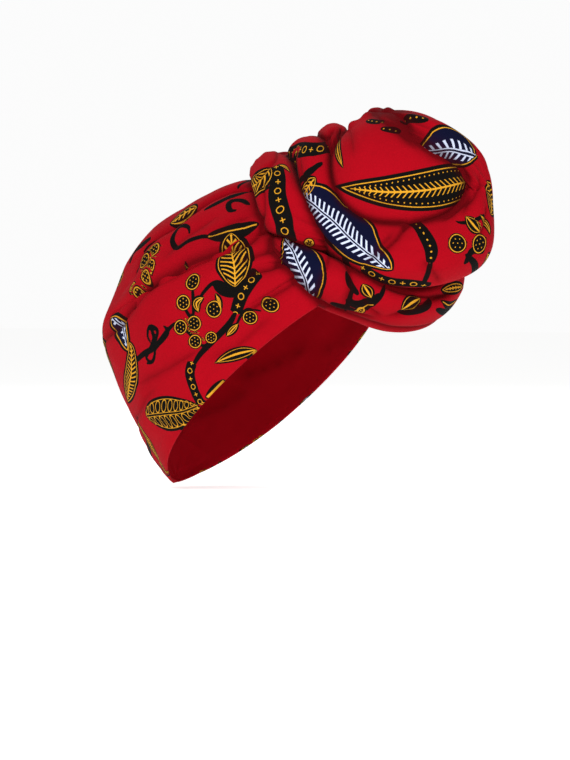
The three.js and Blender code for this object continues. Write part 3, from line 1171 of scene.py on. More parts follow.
class Nodes:
    """A node tree, and the one way in which nodes are added to it."""

    FIRST_COLOUR, SECOND_COLOUR, MIXED_COLOUR = 6, 7, 2

    def __init__(self, tree: bpy.types.NodeTree) -> None:
        """Keeps the tree."""
        self.tree = tree

    def feed(self, node: bpy.types.Node, inputs: dict[Union[int, str], Any]) -> bpy.types.Node:
        """Sets or links the inputs of a node.

        Args:
            node: The node.
            inputs: A value, or a signal to link, for each input.

        Returns:
            The node.
        """
        for key, value in inputs.items():
            if isinstance(value, Signal):
                self.tree.links.new(value.socket, node.inputs[key])
            else:
                node.inputs[key].default_value = value
        return node

    def add(self, kind: str, output: Union[int, str], settings: Optional[dict[str, Any]] = None,
            inputs: Optional[dict[Union[int, str], Any]] = None) -> "Signal":
        """Adds a node.

        Args:
            kind: The node's type.
            output: The output that is wanted.
            settings: The node's settings, which are set first.
            inputs: A value, or a signal to link, for each input.

        Returns:
            That output.
        """
        node = self.tree.nodes.new(kind)
        for key, value in (settings or {}).items():
            setattr(node, key, value)
        return Signal(self, self.feed(node, inputs or {}).outputs[output])

    def math(self, operation: str, *values: "Operand", clamp: bool = False) -> "Signal":
        """Adds a Math node."""
        settings = {"operation": operation, "use_clamp": clamp}
        return self.add("ShaderNodeMath", 0, settings, dict(enumerate(values)))

    def mixed(self, share: "Signal", first: Any, second: Any) -> "Signal":
        """Mixes two colours."""
        inputs = {"Factor": share, self.FIRST_COLOUR: first, self.SECOND_COLOUR: second}
        return self.add("ShaderNodeMix", self.MIXED_COLOUR, {"data_type": "RGBA"}, inputs)

    def attribute(self, name: str, output: str) -> "Signal":
        """One of the outputs of a mesh attribute."""
        return self.add("ShaderNodeAttribute", output, {"attribute_name": name})

    def parts(self, name: str) -> tuple["Signal", "Signal", "Signal"]:
        """The three numbers of a mesh attribute.

        Args:
            name: The attribute's name.

        Returns:
            Its first, second and third number.
        """
        inputs = {"Vector": self.attribute(name, "Vector")}
        split = self.add("ShaderNodeSeparateXYZ", "X", inputs=inputs).socket.node
        return tuple(Signal(self, split.outputs[axis]) for axis in "XYZ")


class Signal:
    """A node's output, which can be used in sums, each of which adds a Math node."""

    def __init__(self, nodes: Nodes, socket: bpy.types.NodeSocket) -> None:
        """Wraps an output."""
        self.nodes, self.socket = nodes, socket

    def __add__(self, other: "Operand") -> "Signal":
        """The sum."""
        return self.nodes.math("ADD", self, other)

    def __radd__(self, other: float) -> "Signal":
        """The sum of a number and the signal."""
        return self.nodes.math("ADD", other, self)

    def __sub__(self, other: "Operand") -> "Signal":
        """The difference."""
        return self.nodes.math("SUBTRACT", self, other)

    def __rsub__(self, other: float) -> "Signal":
        """A number less the signal."""
        return self.nodes.math("SUBTRACT", other, self)

    def __mul__(self, other: "Operand") -> "Signal":
        """The product."""
        return self.nodes.math("MULTIPLY", self, other)

    def __rmul__(self, other: float) -> "Signal":
        """The product of a number and the signal."""
        return self.nodes.math("MULTIPLY", other, self)

    def __truediv__(self, other: "Operand") -> "Signal":
        """The quotient."""
        return self.nodes.math("DIVIDE", self, other)

    def __rtruediv__(self, other: float) -> "Signal":
        """A number divided by the signal."""
        return self.nodes.math("DIVIDE", other, self)

    def __pow__(self, other: "Operand") -> "Signal":
        """The power."""
        return self.nodes.math("POWER", self, other)

    def __rpow__(self, other: float) -> "Signal":
        """A number to the power of the signal."""
        return self.nodes.math("POWER", other, self)

    def __abs__(self) -> "Signal":
        """The size without its sign."""
        return self.nodes.math("ABSOLUTE", self)

    def most(self, other: "Operand") -> "Signal":
        """The larger of two."""
        return self.nodes.math("MAXIMUM", self, other)

    def least(self, other: "Operand") -> "Signal":
        """The smaller of two."""
        return self.nodes.math("MINIMUM", self, other)

    def fraction(self) -> "Signal":
        """The part after the point."""
        return self.nodes.math("FRACT", self)

    def sine(self) -> "Signal":
        """The sine of an angle in radians."""
        return self.nodes.math("SINE", self)

    def cosine(self) -> "Signal":
        """The cosine of an angle in radians."""
        return self.nodes.math("COSINE", self)

    def over(self, edge: float) -> "Signal":
        """The quotient, kept from 0 to 1: 1 where a depth is past an edge's softness."""
        return self.nodes.math("DIVIDE", self, edge, clamp=True)


Operand = Union[Signal, float]


def in_cell(distance: Signal, pitch: float) -> Signal:
    """Distance from the middle of the cell that a place is in."""
    return ((distance / pitch).fraction() - 0.5) * pitch


def in_line(distance: Signal, half: float) -> Signal:
    """Depth inside a thin line, from the distance to its middle and half its width."""
    return half - abs(distance)


def length_of(first: Signal, second: Signal) -> Signal:
    """Length of a vector of two parts."""
    return (first ** 2.0 + second ** 2.0) ** 0.5


class Ink(Enum):
    """The colours printed on the ground, in the order that they are laid."""

    BLACK = "black"
    NAVY = "navy"
    GOLD = "gold"
    WHITE = "white"


Depths = dict[Ink, Signal]


@dataclass(frozen=True)
class Axes:
    """An ornament's own axes on the cloth."""

    along: Signal  # distance along its line; a seed's first local distance
    side: Signal  # distance to the line's side; a seed's second local distance
    width: Signal  # half its width there; a seed's radius

    def inside(self) -> Signal:
        """Depth inside the ornament's outline."""
        return self.width - abs(self.side)


@dataclass(frozen=True)
class Ribs:
    """Slanting ribs on both sides of a line."""

    pitch: float  # distance from a rib to the next
    slope: float  # how far a rib runs along for each step out
    share: float  # share of the pitch that is rib

    def depth(self, along: Signal, side: Signal) -> Signal:
        """Depth inside a rib, from the distances along the line and to its side."""
        place = ((along - abs(side) * self.slope) / self.pitch).fraction() - 0.5
        return (self.share / 2 - abs(place)) * self.pitch


@dataclass(frozen=True)
class RingBand:
    """A black band with gold rings and crosses by turns."""

    pitch: float = 12.5  # distance from a ring to the next one
    radius: float = 1.85  # radius of a ring
    thin: float = 0.4  # half the width of its line
    arm: float = 1.7  # length of a cross's arms
    bar: float = 0.42  # half their width
    border: float = 0.6  # black left along the band's edges

    def draw(self, axes: Axes) -> Depths:
        """Draws the ornament.

        Args:
            axes: Its own axes.

        Returns:
            The depth inside each colour.
        """
        inside, side = axes.inside(), axes.side
        ring_at = in_cell(axes.along, self.pitch)
        cross_at = in_cell(axes.along + self.pitch / 2, self.pitch)
        ring = in_line(length_of(ring_at, side) - self.radius, self.thin)
        arms = self.arm - abs(cross_at).most(abs(side))
        cross = arms.least(self.bar - abs(cross_at).least(abs(side)))
        return {Ink.BLACK: inside, Ink.GOLD: ring.most(cross).least(inside - self.border)}


@dataclass(frozen=True)
class DotBand:
    """A black band that tapers, with a row of gold dots."""

    pitch: float = 4.2  # distance from a dot to the next
    dot: float = 0.75  # radius of a dot
    border: float = 1.0  # black left along the band's edges

    def draw(self, axes: Axes) -> Depths:
        """Draws the ornament.

        Args:
            axes: Its own axes.

        Returns:
            The depth inside each colour.
        """
        inside = axes.inside()
        dot = self.dot - length_of(in_cell(axes.along, self.pitch), axes.side)
        return {Ink.BLACK: inside, Ink.GOLD: dot.least(inside - self.border)}


@dataclass(frozen=True)
class GoldFern:
    """A long black leaf with a gold outline, a row of dots inside it and a gold fern."""

    outline: float = 3.2  # how far in from the edge the outline is
    thin: float = 0.5  # half the outline's width
    pitch: float = 4.0  # distance from a dot to the next
    dots: float = 5.8  # how far in from the edge the dots are
    dot: float = 0.62  # radius of a dot
    ribs: Ribs = Ribs(4.2, -0.9, 0.3)  # the fern's ribs
    reach: float = 0.4  # share of the half width that the fern fills
    gap: float = 1.0  # how much shorter its ribs are
    taper: float = 0.07  # half the width of its stem, as a share of the leaf's
    tip: float = 0.1  # half the stem's width at the leaf's tips
    stem: float = 0.8  # half the stem's greatest width
    fern: float = 5.0  # how far in from the edge the fern begins

    def draw(self, axes: Axes) -> Depths:
        """Draws the ornament.

        Args:
            axes: Its own axes.

        Returns:
            The depth inside each colour.
        """
        inside, width, out = axes.inside(), axes.width, abs(axes.side)
        outline = in_line(inside - self.outline, self.thin)
        dots = self.dot - length_of(in_cell(axes.along, self.pitch), inside - self.dots)
        ribs = self.ribs.depth(axes.along, axes.side).least(width * self.reach - out - self.gap)
        stem = (width * self.taper + self.tip).least(self.stem) - out
        fern = ribs.most(stem).least(inside - self.fern)
        return {Ink.BLACK: inside, Ink.GOLD: outline.most(dots).most(fern)}


@dataclass(frozen=True)
class WhiteFern:
    """A navy leaf with a white fern and a gold outline, which is scalloped on its right."""

    lobe: float = 41.0  # length of a lobe of the scalloped side
    bulge: float = 4.6  # how round the lobes are
    notch: float = 3.4  # depth of the notches between them
    turn: float = 4.0  # how suddenly the lobes begin on the line's right
    outline: float = 3.0  # how far in from the edge the outline is
    thin: float = 0.55  # half the outline's width
    navy: float = 3.6  # how far in from the edge the navy begins
    shift: float = 1.8  # how far the fern is to the line's left
    ribs: Ribs = Ribs(4.4, -0.6, 0.42)  # the fern's ribs
    reach: float = 0.4  # share of the half width that they fill
    bare: float = 1.1  # bare cloth on either side of the stem's middle
    stem: float = 0.9  # distance of the stem's two lines from its middle
    line: float = 0.45  # half the width of these lines
    fern: float = 4.2  # how far in from the edge the fern begins

    def draw(self, axes: Axes) -> Depths:
        """Draws the ornament.

        Args:
            axes: Its own axes.

        Returns:
            The depth inside each colour.
        """
        bulge = abs((axes.along * (math.pi / self.lobe)).sine()) * self.bulge
        lobed = (0.5 - axes.side * self.turn).over(1.0)
        inside = axes.inside() - (self.notch - bulge.least(self.notch)) * lobed
        side = axes.side - self.shift
        ribs = self.ribs.depth(axes.along, side).least(axes.width * self.reach - abs(side))
        stem = in_line(abs(side) - self.stem, self.line)
        fern = ribs.least(abs(side) - self.bare).most(stem).least(inside - self.fern)
        outline = in_line(inside - self.outline, self.thin)
        return {Ink.BLACK: inside, Ink.NAVY: inside - self.navy, Ink.GOLD: outline,
                Ink.WHITE: fern}


@dataclass(frozen=True)
class LoopLeaf:
    """A black leaf with a gold midrib and gold loops on both sides of it."""

    pitch: float = 6.6  # distance from a loop to the next
    slant: float = 0.5  # how far a loop runs back for each step out
    reach: float = 0.33  # half a loop's length, as a share of the leaf's half width
    least: float = 0.8  # half the length of the smallest loop
    half: float = 2.3  # half a loop's width
    gap: float = 1.4  # distance from the leaf's middle to the loops
    loop: float = 0.36  # half the width of a loop's line
    stem: float = 0.9  # distance of the midrib's two lines from the middle
    line: float = 0.32  # half the width of these lines
    outline: float = 2.4  # how far in from the edge the outline is
    thin: float = 0.34  # half the outline's width
    border: float = 1.0  # black left along the leaf's edge

    def draw(self, axes: Axes) -> Depths:
        """Draws the ornament.

        Args:
            axes: Its own axes.

        Returns:
            The depth inside each colour.
        """
        inside, out = axes.inside(), abs(axes.side)
        at = in_cell(axes.along - out * self.slant, self.pitch)
        reach = (axes.width * self.reach).most(self.least)
        round_it = length_of(at / self.half, (out - reach - self.gap) / reach)
        loops = in_line((round_it - 1.0) * self.half, self.loop)
        stem = in_line(out - self.stem, self.line)
        outline = in_line(inside - self.outline, self.thin)
        gold = loops.most(stem).most(outline).least(inside - self.border)
        return {Ink.BLACK: inside, Ink.GOLD: gold}


@dataclass(frozen=True)
class RibLeaf:
    """A black leaf nearly filled with slanting gold ribs."""

    ribs: Ribs = Ribs(3.0, -0.7, 0.42)  # the ribs
    filled: float = 3.6  # how far in from the edge they begin
    stem: float = 0.6  # half the midrib's width
    inner: float = 3.2  # how far in from the edge the midrib begins
    outline: float = 2.3  # how far in from the edge the outline is
    thin: float = 0.42  # half the outline's width

    def draw(self, axes: Axes) -> Depths:
        """Draws the ornament.

        Args:
            axes: Its own axes.

        Returns:
            The depth inside each colour.
        """
        inside = axes.inside()
        ribs = self.ribs.depth(axes.along, axes.side).least(inside - self.filled)
        stem = in_line(axes.side, self.stem).least(inside - self.inner)
        outline = in_line(inside - self.outline, self.thin)
        return {Ink.BLACK: inside, Ink.GOLD: ribs.most(stem).most(outline)}


@dataclass(frozen=True)
class Almond:
    """A black drop with a gold outline and a thin gold drop in it."""

    share: float = 0.17  # half the inner drop's width, as a share of the outer's
    most: float = 0.9  # half its greatest width
    outline: float = 1.9  # how far in from the edge the outline is
    thin: float = 0.36  # half the outline's width

    def draw(self, axes: Axes) -> Depths:
        """Draws the ornament.

        Args:
            axes: Its own axes.

        Returns:
            The depth inside each colour.
        """
        inside = axes.inside()
        drop = (axes.width * self.share - abs(axes.side)).least(self.most)
        outline = in_line(inside - self.outline, self.thin)
        return {Ink.BLACK: inside, Ink.GOLD: outline.most(drop)}


@dataclass(frozen=True)
class Lined:
    """A black strip with a gold line along its middle."""

    thin: float = 0.45  # half the line's width
    border: float = 1.2  # black left where the strip is narrow

    def draw(self, axes: Axes) -> Depths:
        """Draws the ornament."""
        line = in_line(axes.side, self.thin).least(axes.width - self.border)
        return {Ink.BLACK: axes.inside(), Ink.GOLD: line}


@dataclass(frozen=True)
class Seed:
    """A black disc with a gold edge, and a gold dot with a ring of dots round it."""

    edge: float = 1.15  # how far in from the rim the gold edge is
    thin: float = 0.42  # half its width
    dots: int = 6  # how many dots are round the middle one
    dot: float = 0.52  # radius of a dot
    ring: float = 0.46  # distance of the dots from the middle, as a share of the radius

    def draw(self, axes: Axes) -> Depths:
        """Draws the ornament.

        Args:
            axes: Its own axes.

        Returns:
            The depth inside each colour.
        """
        x, y, radius = axes.along, axes.side, axes.width
        out = length_of(x, y)
        inside = radius - out
        turn = in_cell(x.nodes.math("ARCTAN2", y, x), 2 * math.pi / self.dots)
        apart = length_of(out * turn.sine(), out * turn.cosine() - radius * self.ring)
        gold = in_line(inside - self.edge, self.thin).most(self.dot - apart.least(out))
        return {Ink.BLACK: inside, Ink.GOLD: gold.least(inside)}


@dataclass(frozen=True)
class Stroke:
    """A plain black stroke."""

    def draw(self, axes: Axes) -> Depths:
        """Draws the stroke; its first number is the depth itself."""
        return {Ink.BLACK: axes.along}


DRAWINGS = {
    Ornament.RING_BAND: RingBand(),
    Ornament.DOT_BAND: DotBand(),
    Ornament.GOLD_FERN: GoldFern(),
    Ornament.WHITE_FERN: WhiteFern(),
    Ornament.LOOP_LEAF: LoopLeaf(),
    Ornament.RIB_LEAF: RibLeaf(),
    Ornament.ALMOND: Almond(),
    Ornament.LINED: Lined(),
    Ornament.SEED: Seed(),
    Ornament.INK: Stroke(),
}


@dataclass(frozen=True)
class Dye:
    """A printed colour, in linear red, green and blue."""

    red: float
    green: float
    blue: float

    def rgba(self, share: float = 1.0) -> tuple[float, float, float, float]:
        """The colour as a node takes it, darker or lighter by a share."""
        return (share * self.red, share * self.green, share * self.blue, 1.0)


@dataclass(frozen=True)
class WaxGround:
    """The dyed ground, with the faint clouds and fine cracks that wax leaves in it."""

    dye: Dye = Dye(0.35, 0.0012, 0.0075)  # the ground's colour
    cloud: float = 28.0  # scale of the clouds
    detail: float = 4.0  # detail of the clouds
    rough: float = 0.6  # roughness of the clouds
    dark: float = 0.86  # the dye's share where a cloud is dark
    light: float = 1.12  # the dye's share where it is light
    crackle: float = 90.0  # scale of the cracks
    vein: float = 0.035  # width of a crack, as a share of a cell
    worn: float = 0.7  # the dye's share in a crack
    middle: float = 0.5  # strength of cloud above which there are cracks
    ease: float = 0.25  # how slowly they come in
    most: float = 0.35  # how far they show

    def colour(self, nodes: Nodes) -> Signal:
        """The ground's colour over the cloth.

        Args:
            nodes: The material's nodes.

        Returns:
            The colour.
        """
        place = nodes.add("ShaderNodeTexCoord", "Object")
        cloud = nodes.add("ShaderNodeTexNoise", "Fac", inputs={
            "Vector": place, "Scale": self.cloud, "Detail": self.detail, "Roughness": self.rough})
        apart = nodes.add("ShaderNodeTexVoronoi", "Distance", {"feature": "DISTANCE_TO_EDGE"}, {
            "Vector": place, "Scale": self.crackle, "Randomness": 1.0})
        cloudy = nodes.mixed(cloud, self.dye.rgba(self.dark), self.dye.rgba(self.light))
        cracks = (1.0 - apart.over(self.vein)) * (cloud - self.middle).over(self.ease) * self.most
        return nodes.mixed(cracks, cloudy, self.dye.rgba(self.worn))


@dataclass(frozen=True)
class PlainWeave:
    """The cloth's plain weave."""

    thread: float = 0.55  # distance between threads, in millimetres
    rise: float = 0.00006  # height of a thread, in metres
    strength: float = 0.25  # strength of the bump

    def normal(self, nodes: Nodes) -> Signal:
        """The weave as a fine bump.

        Args:
            nodes: The material's nodes.

        Returns:
            The bumped normal.
        """
        x, y, _ = nodes.parts("cloth")
        turn = 2 * math.pi / self.thread
        height = (x * turn).sine() * (y * turn).sine()
        return nodes.add("ShaderNodeBump", "Normal", inputs={
            "Strength": self.strength, "Distance": self.rise, "Height": height})


@dataclass(frozen=True)
class WaxCotton:
    """Printed plain-weave cotton: a red ground with black, navy, gold and white ornaments, and painted
    shade in its creases and seams.
    """

    ground: WaxGround = WaxGround()
    weave: PlainWeave = PlainWeave()
    black: Dye = Dye(0.0035, 0.0032, 0.003)
    navy: Dye = Dye(0.003, 0.004, 0.022)
    gold: Dye = Dye(0.68, 0.32, 0.02)
    white: Dye = Dye(0.62, 0.68, 0.86)
    edge: float = 0.3  # softness of a printed edge, in millimetres
    roughness: float = 0.9
    sheen: float = 0.01  # its sheen
    nap: float = 0.5  # roughness of the sheen
    shine: float = 0.05  # its specular level
    shade: float = 0.32  # share of painted shade for each millimetre of crease
    deepest: float = 0.74  # the most painted shade that a crease has
    shaded: float = 0.08  # the ground dye's share in full painted shade

    def printed(self, nodes: Nodes) -> Signal:
        """The ground with all ornaments on it.

        Args:
            nodes: The material's nodes.

        Returns:
            The colour.
        """
        depths: Depths = {}
        for kind in Ornament:
            for ink, depth in DRAWINGS[kind].draw(Axes(*nodes.parts(kind.value))).items():
                depths[ink] = depths[ink].most(depth) if ink in depths else depth
        colour = self.ground.colour(nodes)
        for ink in Ink:
            colour = nodes.mixed(depths[ink].over(self.edge), colour,
                                 getattr(self, ink.value).rgba())
        return colour

    def build(self) -> bpy.types.Material:
        """Makes the material, with painted shade in its base colour.

        Returns:
            The material, for every piece of the turban.
        """
        material = bpy.data.materials.new("wax_cotton")
        material.use_nodes = True
        nodes = Nodes(material.node_tree)
        # Painted shade: the base colour darkens toward a dark copy of the ground dye with the depth of
        # the creases and the closeness of neighbouring pieces.
        shade = (nodes.attribute("creased", "Fac") * self.shade).least(self.deepest)
        colour = nodes.mixed(shade, self.printed(nodes), self.ground.dye.rgba(self.shaded))
        nodes.feed(material.node_tree.nodes["Principled BSDF"], {
            "Base Color": colour, "Roughness": self.roughness, "Sheen Weight": self.sheen,
            "Sheen Roughness": self.nap, "Specular IOR Level": self.shine,
            "Normal": self.weave.normal(nodes)})
        return material


def table(kind: type, *rows: tuple) -> tuple:
    """A table's rows as objects of a kind, whose fields are the columns in their order."""
    return tuple(kind(*row) for row in rows)


def relief(swells: Sequence[tuple], creases: Sequence[tuple]) -> tuple[Relief, ...]:
    """Swells and creases from two tables."""
    return (*table(Swell, *swells), *(Crease(deep, wide, lip, fall, tuple(line))
                                      for deep, wide, lip, fall, *line in creases))


def stamps(rows: dict[Ornament, Sequence[tuple]]) -> tuple[Stamp, ...]:
    """Ornaments from a table."""
    return tuple(Stamp(kind, tuple(line), wide, belly)
                 for kind, own in rows.items() for wide, belly, *line in own)


# around, top, rim
CAP_STAND_OFF = table(
    StandOff,
    (0, 6, 2.5), (40, 9, 2.5), (55, 10, 2.5), (65, 7, 2.5), (74, 6.2, 2.5), (84, 9, 2.5),
    (98, 10.2, 2.5), (123, 6, 2), (136, 0.5, 0), (147, -4, -2), (158, -6, -4), (167, -3.5, -4),
    (180, 0, 0),
)
# path as (around, up), rise, ends, over
CAP_FOLDS = table(
    CapFold,
    (((0, 26), (36, 22.6), (45, 20), (58, 19), (180, 20)), 2.2, 68, 1),
    (((0, 36), (40, 33), (49, 35), (90, 36), (180, 40)), 2.4, 62, 1),
    (((0, 60), (45, 50), (58, 47), (79, 50), (98, 55), (123, 73), (180, 72)), 4.2, 140, 1),
    (((0, 80), (56, 75), (69, 68), (85, 67), (94, 70), (123, 84), (180, 86)), 3.6, 108, 1),
    (((0, 102), (60, 106), (90, 112), (180, 104)), 3.4, 112, -1),
    (((0, 122), (60, 131), (90, 129), (123, 118), (180, 116)), 4, 136, -1),
    (((0, 152), (60, 156), (180, 158)), 2.4, 70, -1),
)
# path as (around, up), rise, wide
CAP_RIPPLES = table(
    Ripple,
    (((36, 28), (60, 27), (84, 30)), 0.7, 4),
    (((38, 42), (60, 40), (95, 42)), 0.9, 5),
    (((100, 40), (130, 52), (170, 60)), -0.8, 5),
    (((50, 60), (80, 59), (110, 66)), -0.7, 4),
    (((105, 22), (135, 30), (172, 44)), 0.7, 6),
    (((60, 88), (90, 90), (130, 96)), 0.9, 6),
    (((60, 140), (90, 141), (140, 132)), -0.8, 6),
)
CAP_CREASES = relief(
    swells=(
        (50, 205, 18, 4.5), (47, 167, 17, -3.2),
    ),
    creases=(
        (2.4, 1.8, 2.2, 16, (56, 90), (55, 96), (56, 104), (56, 112), (54, 126), (55, 137),
         (54, 145), (52, 151), (47, 156)),
        (2.8, 1.8, 2.4, 18, (45, 206), (33, 186), (32, 174), (31, 167), (32, 159), (30, 152),
         (28, 143), (26, 134), (25, 124), (23, 115), (18, 99), (14, 90), (14, 82), (20, 75)),
        (2, 1.6, 1.6, 10, (-5, 90), (-4, 84), (-5, 74), (-3, 66)),
        (1.8, 1.6, 1.4, 10, (5, 92), (5, 84), (5, 75), (5, 68)),
        (1.6, 1.8, 1.2, 12, (-25, 97), (-22, 84), (-19, 72), (-15, 61)),
        (1.2, 2.5, 0.9, 16, (-5, 203), (-12, 192), (-20, 177), (-25, 163), (-29, 147)),
        (1, 2.5, 0.8, 14, (-41, 139), (-44, 123), (-41, 105), (-35, 88)),
        (1.1, 2.6, 0.8, 16, (-17, 202), (-9, 225), (11, 260), (14, 286)),
        (1.2, 2, 1, 12, (27, 106), (27, 98), (28, 89), (28, 81)),
        (1, 2, 0.8, 10, (37, 102), (38, 112), (37, 124), (34, 133)),
    ),
)
DOME_CREASES = relief(
    swells=(
        (-39, 43, 6, 3), (-25, 47, 6, 3.4),
    ),
    creases=(
        (1.2, 3, 0.6, 14, (-47, 49), (-36, 20), (-33, 4)),
        (1, 2.6, 0.6, 12, (-21, 48), (-11, 24), (0, 11), (7, 3)),
        (0.9, 2.4, 0.5, 10, (-42, -21), (-28, -31), (-12, -38), (2, -40)),
    ),
)
# A strand's rows are along, out, up, thick, wide, roll; its gathers start, stop, pleats, rise;
# a swell is x, y, reach, rise, and a crease deep, wide, lip, fall and the points of its line.
STRANDS = (
    Strand(
        name="front_coil", hub=(97, 52, -8), seed=11,
        rows=table(
            Section,
            (92, -2, -28, 15, 18), (78, -16, -19, 20, 24), (64, -21, -6, 22, 26),
            (52, -14, 8, 23, 26), (43, -3, 15, 24, 26), (38, 12, 18, 26, 26),
            (38, 27, 17, 27, 28), (40, 39, 14, 26, 31), (41, 48, 5, 25, 34),
            (44, 56, -10, 24, 36), (52, 63, -26, 28, 38), (66, 69, -38, 34, 40),
            (88, 73, -44, 44, 42), (111, 73, -43, 46, 42), (129, 66, -35, 42, 40),
            (139, 58, -19, 30, 36), (141, 54, -2, 22, 31, -15), (136, 60, 11, 20, 29, -30),
            (125, 68, 21, 20, 28, -40), (112, 72, 27, 20, 30, -42), (99, 68, 32, 18, 28, -42),
            (87, 56, 36, 15, 24, -40), (76, 38, 37, 13, 20, -30), (67, 20, 29, 12, 18, -10),
        ),
        gathers=table(
            Gather,
            (0, 45, 9, 1.6), (330, 380, 10, 1.6), (390, 450, 8, 1.4)),
        creases=relief(
            swells=(
                (308, 6, 22, 4.5), (458, 6, 7, 3.4), (444, 8, 5, 2.2), (120, 1, 6, 2),
            ),
            creases=(
                (2.2, 1.8, 1.2, 10, (259, -44), (252, -36), (244, -27), (238, -18)),
                (1.6, 1.6, 0.9, 8, (246, -36), (240, -28), (235, -17), (231, -9)),
                (1.6, 1.8, 0.9, 8, (275, 3), (271, -9), (267, -18)),
                (1.8, 1.6, 1, 8, (214, -7), (201, -6), (185, -5), (172, -2), (161, 0)),
                (2, 1.6, 1.2, 8, (399, -11), (406, -9), (413, -6), (417, 0), (424, 4)),
                (1.8, 1.5, 1, 8, (369, -15), (378, -13), (385, -13), (391, -12)),
                (1.6, 1.4, 1, 7, (361, -12), (374, -9), (383, -8)),
                (1.6, 1.5, 0.9, 7, (315, -31), (326, -28), (339, -19), (357, -5)),
                (1.4, 1.4, 0.8, 7, (289, -40), (307, -37), (321, -32), (334, -25)),
                (1.4, 1.6, 0.8, 8, (331, -13), (319, -15), (306, -16)),
                (1.2, 1.6, 0.6, 8, (147, -7), (156, -8), (165, -13)),
            ),
        ),
    ),
    Strand(
        name="top_wrap", hub=(66, 20, -30), seed=12,
        rows=table(
            Section,
            (55, 56, 2, 13, 16), (55, 50, 14, 15, 17), (53, 41, 24, 16, 18),
            (52, 28, 30, 17, 20), (52, 14, 29, 18, 22), (58, -2, 23, 20, 24),
            (68, -12, 13, 20, 24), (79, -13, 0, 19, 22), (92, -4, -12, 16, 18),
        ),
        gathers=table(
            Gather,
            (0, 40, 7, 1.4), (110, 170, 7, 1.4)),
        creases=relief(
            swells=(),
            creases=(
                (2.2, 1.6, 1.2, 8, (38, 6), (25, 3), (15, 1)),
                (1.6, 1.5, 0.9, 7, (36, 1), (29, -3), (38, -12)),
            ),
        ),
    ),
    Strand(
        name="back_wrap", hub=(42, 21, -35), seed=13,
        rows=table(
            Section,
            (54, 60, -36, 18, 22), (43, 63, -33, 24, 29), (30, 62, -28, 27, 32),
            (20, 57, -17, 28, 33), (15, 49, -5, 27, 32), (12, 36, 4, 24, 31),
            (12, 14, 7, 22, 31), (24, -8, 6, 24, 32), (38, -19, -2, 26, 32),
            (53, -24, -14, 26, 32), (68, -24, -28, 24, 28), (84, -10, -40, 20, 22),
        ),
        tucks=table(Tuck, (-67.5, 3)),
        gathers=table(
            Gather,
            (0, 40, 8, 1.6), (90, 140, 9, 1.2), (230, 300, 8, 1.6)),
        creases=relief(
            swells=(
                (98, 4, 9, 2.5),
            ),
            creases=(
                (1.6, 1.6, 1, 8, (47, -25), (49, -9), (56, -4), (67, -2)),
                (2.2, 1.2, 2.2, 7, (16, -11), (24, -11), (31, -12), (40, -22), (49, -30)),
                (1.4, 1.5, 0.8, 8, (119, 13), (80, 8), (73, 0), (70, -6)),
            ),
        ),
    ),
    Strand(
        name="forehead_roll", hub=(76, 30, -36), seed=14,
        rows=table(
            Section,
            (12, 60, -36, 12, 16), (24, 65, -48, 18, 25), (37, 68, -58, 22, 33),
            (52, 70, -66, 26, 35), (71, 68, -73, 28, 36), (90, 62, -78, 30, 38),
            (108, 52, -77, 30, 38), (119, 36, -70, 28, 36), (120, 17, -63, 28, 34),
            (110, 1, -58, 28, 34), (92, -8, -55, 26, 32), (75, -12, -50, 20, 24),
        ),
        tucks=table(Tuck, (22.5, 2.5)),
        gathers=table(
            Gather,
            (0, 30, 8, 1.4), (150, 220, 9, 1.4), (250, 330, 8, 1.6)),
        creases=relief(
            swells=(),
            creases=(
                (2.4, 1.8, 1.4, 10, (83, -23), (92, -22), (104, -21), (118, -19), (131, -17)),
                (2.2, 1.8, 1.2, 10, (93, -3), (101, -8), (111, -14), (122, -17), (136, -16)),
                (2, 1.8, 1.2, 9, (56, -30), (61, -21), (64, -11), (64, -2)),
                (1.6, 1.6, 1, 8, (84, 1), (71, 3), (61, 6), (51, 5)),
                (1.6, 1.6, 0.9, 8, (42, -30), (45, -19), (45, -7), (47, 4)),
                (1.4, 1.6, 0.8, 8, (73, -10), (78, -5), (88, -1)),
            ),
        ),
    ),
    Strand(
        name="far_coil", hub=(100, 10, -16), seed=15,
        rows=table(
            Section,
            (77, 16, 16, 20, 28), (92, 13, 20, 28, 36), (109, 15, 16, 32, 40),
            (123, 18, 4, 34, 40), (129, 20, -14, 35, 40), (124, 15, -31, 36, 40),
            (109, 5, -41, 37, 39), (93, -5, -40, 36, 38), (81, -14, -28, 32, 35),
            (80, -15, -11, 28, 31), (90, -8, 1, 24, 27), (104, -1, 1, 19, 22),
            (110, 2, -12, 15, 18),
        ),
        gathers=table(
            Gather,
            (0, 50, 8, 1.6), (110, 180, 9, 1.3), (230, 330, 8, 1.8)),
    ),
)
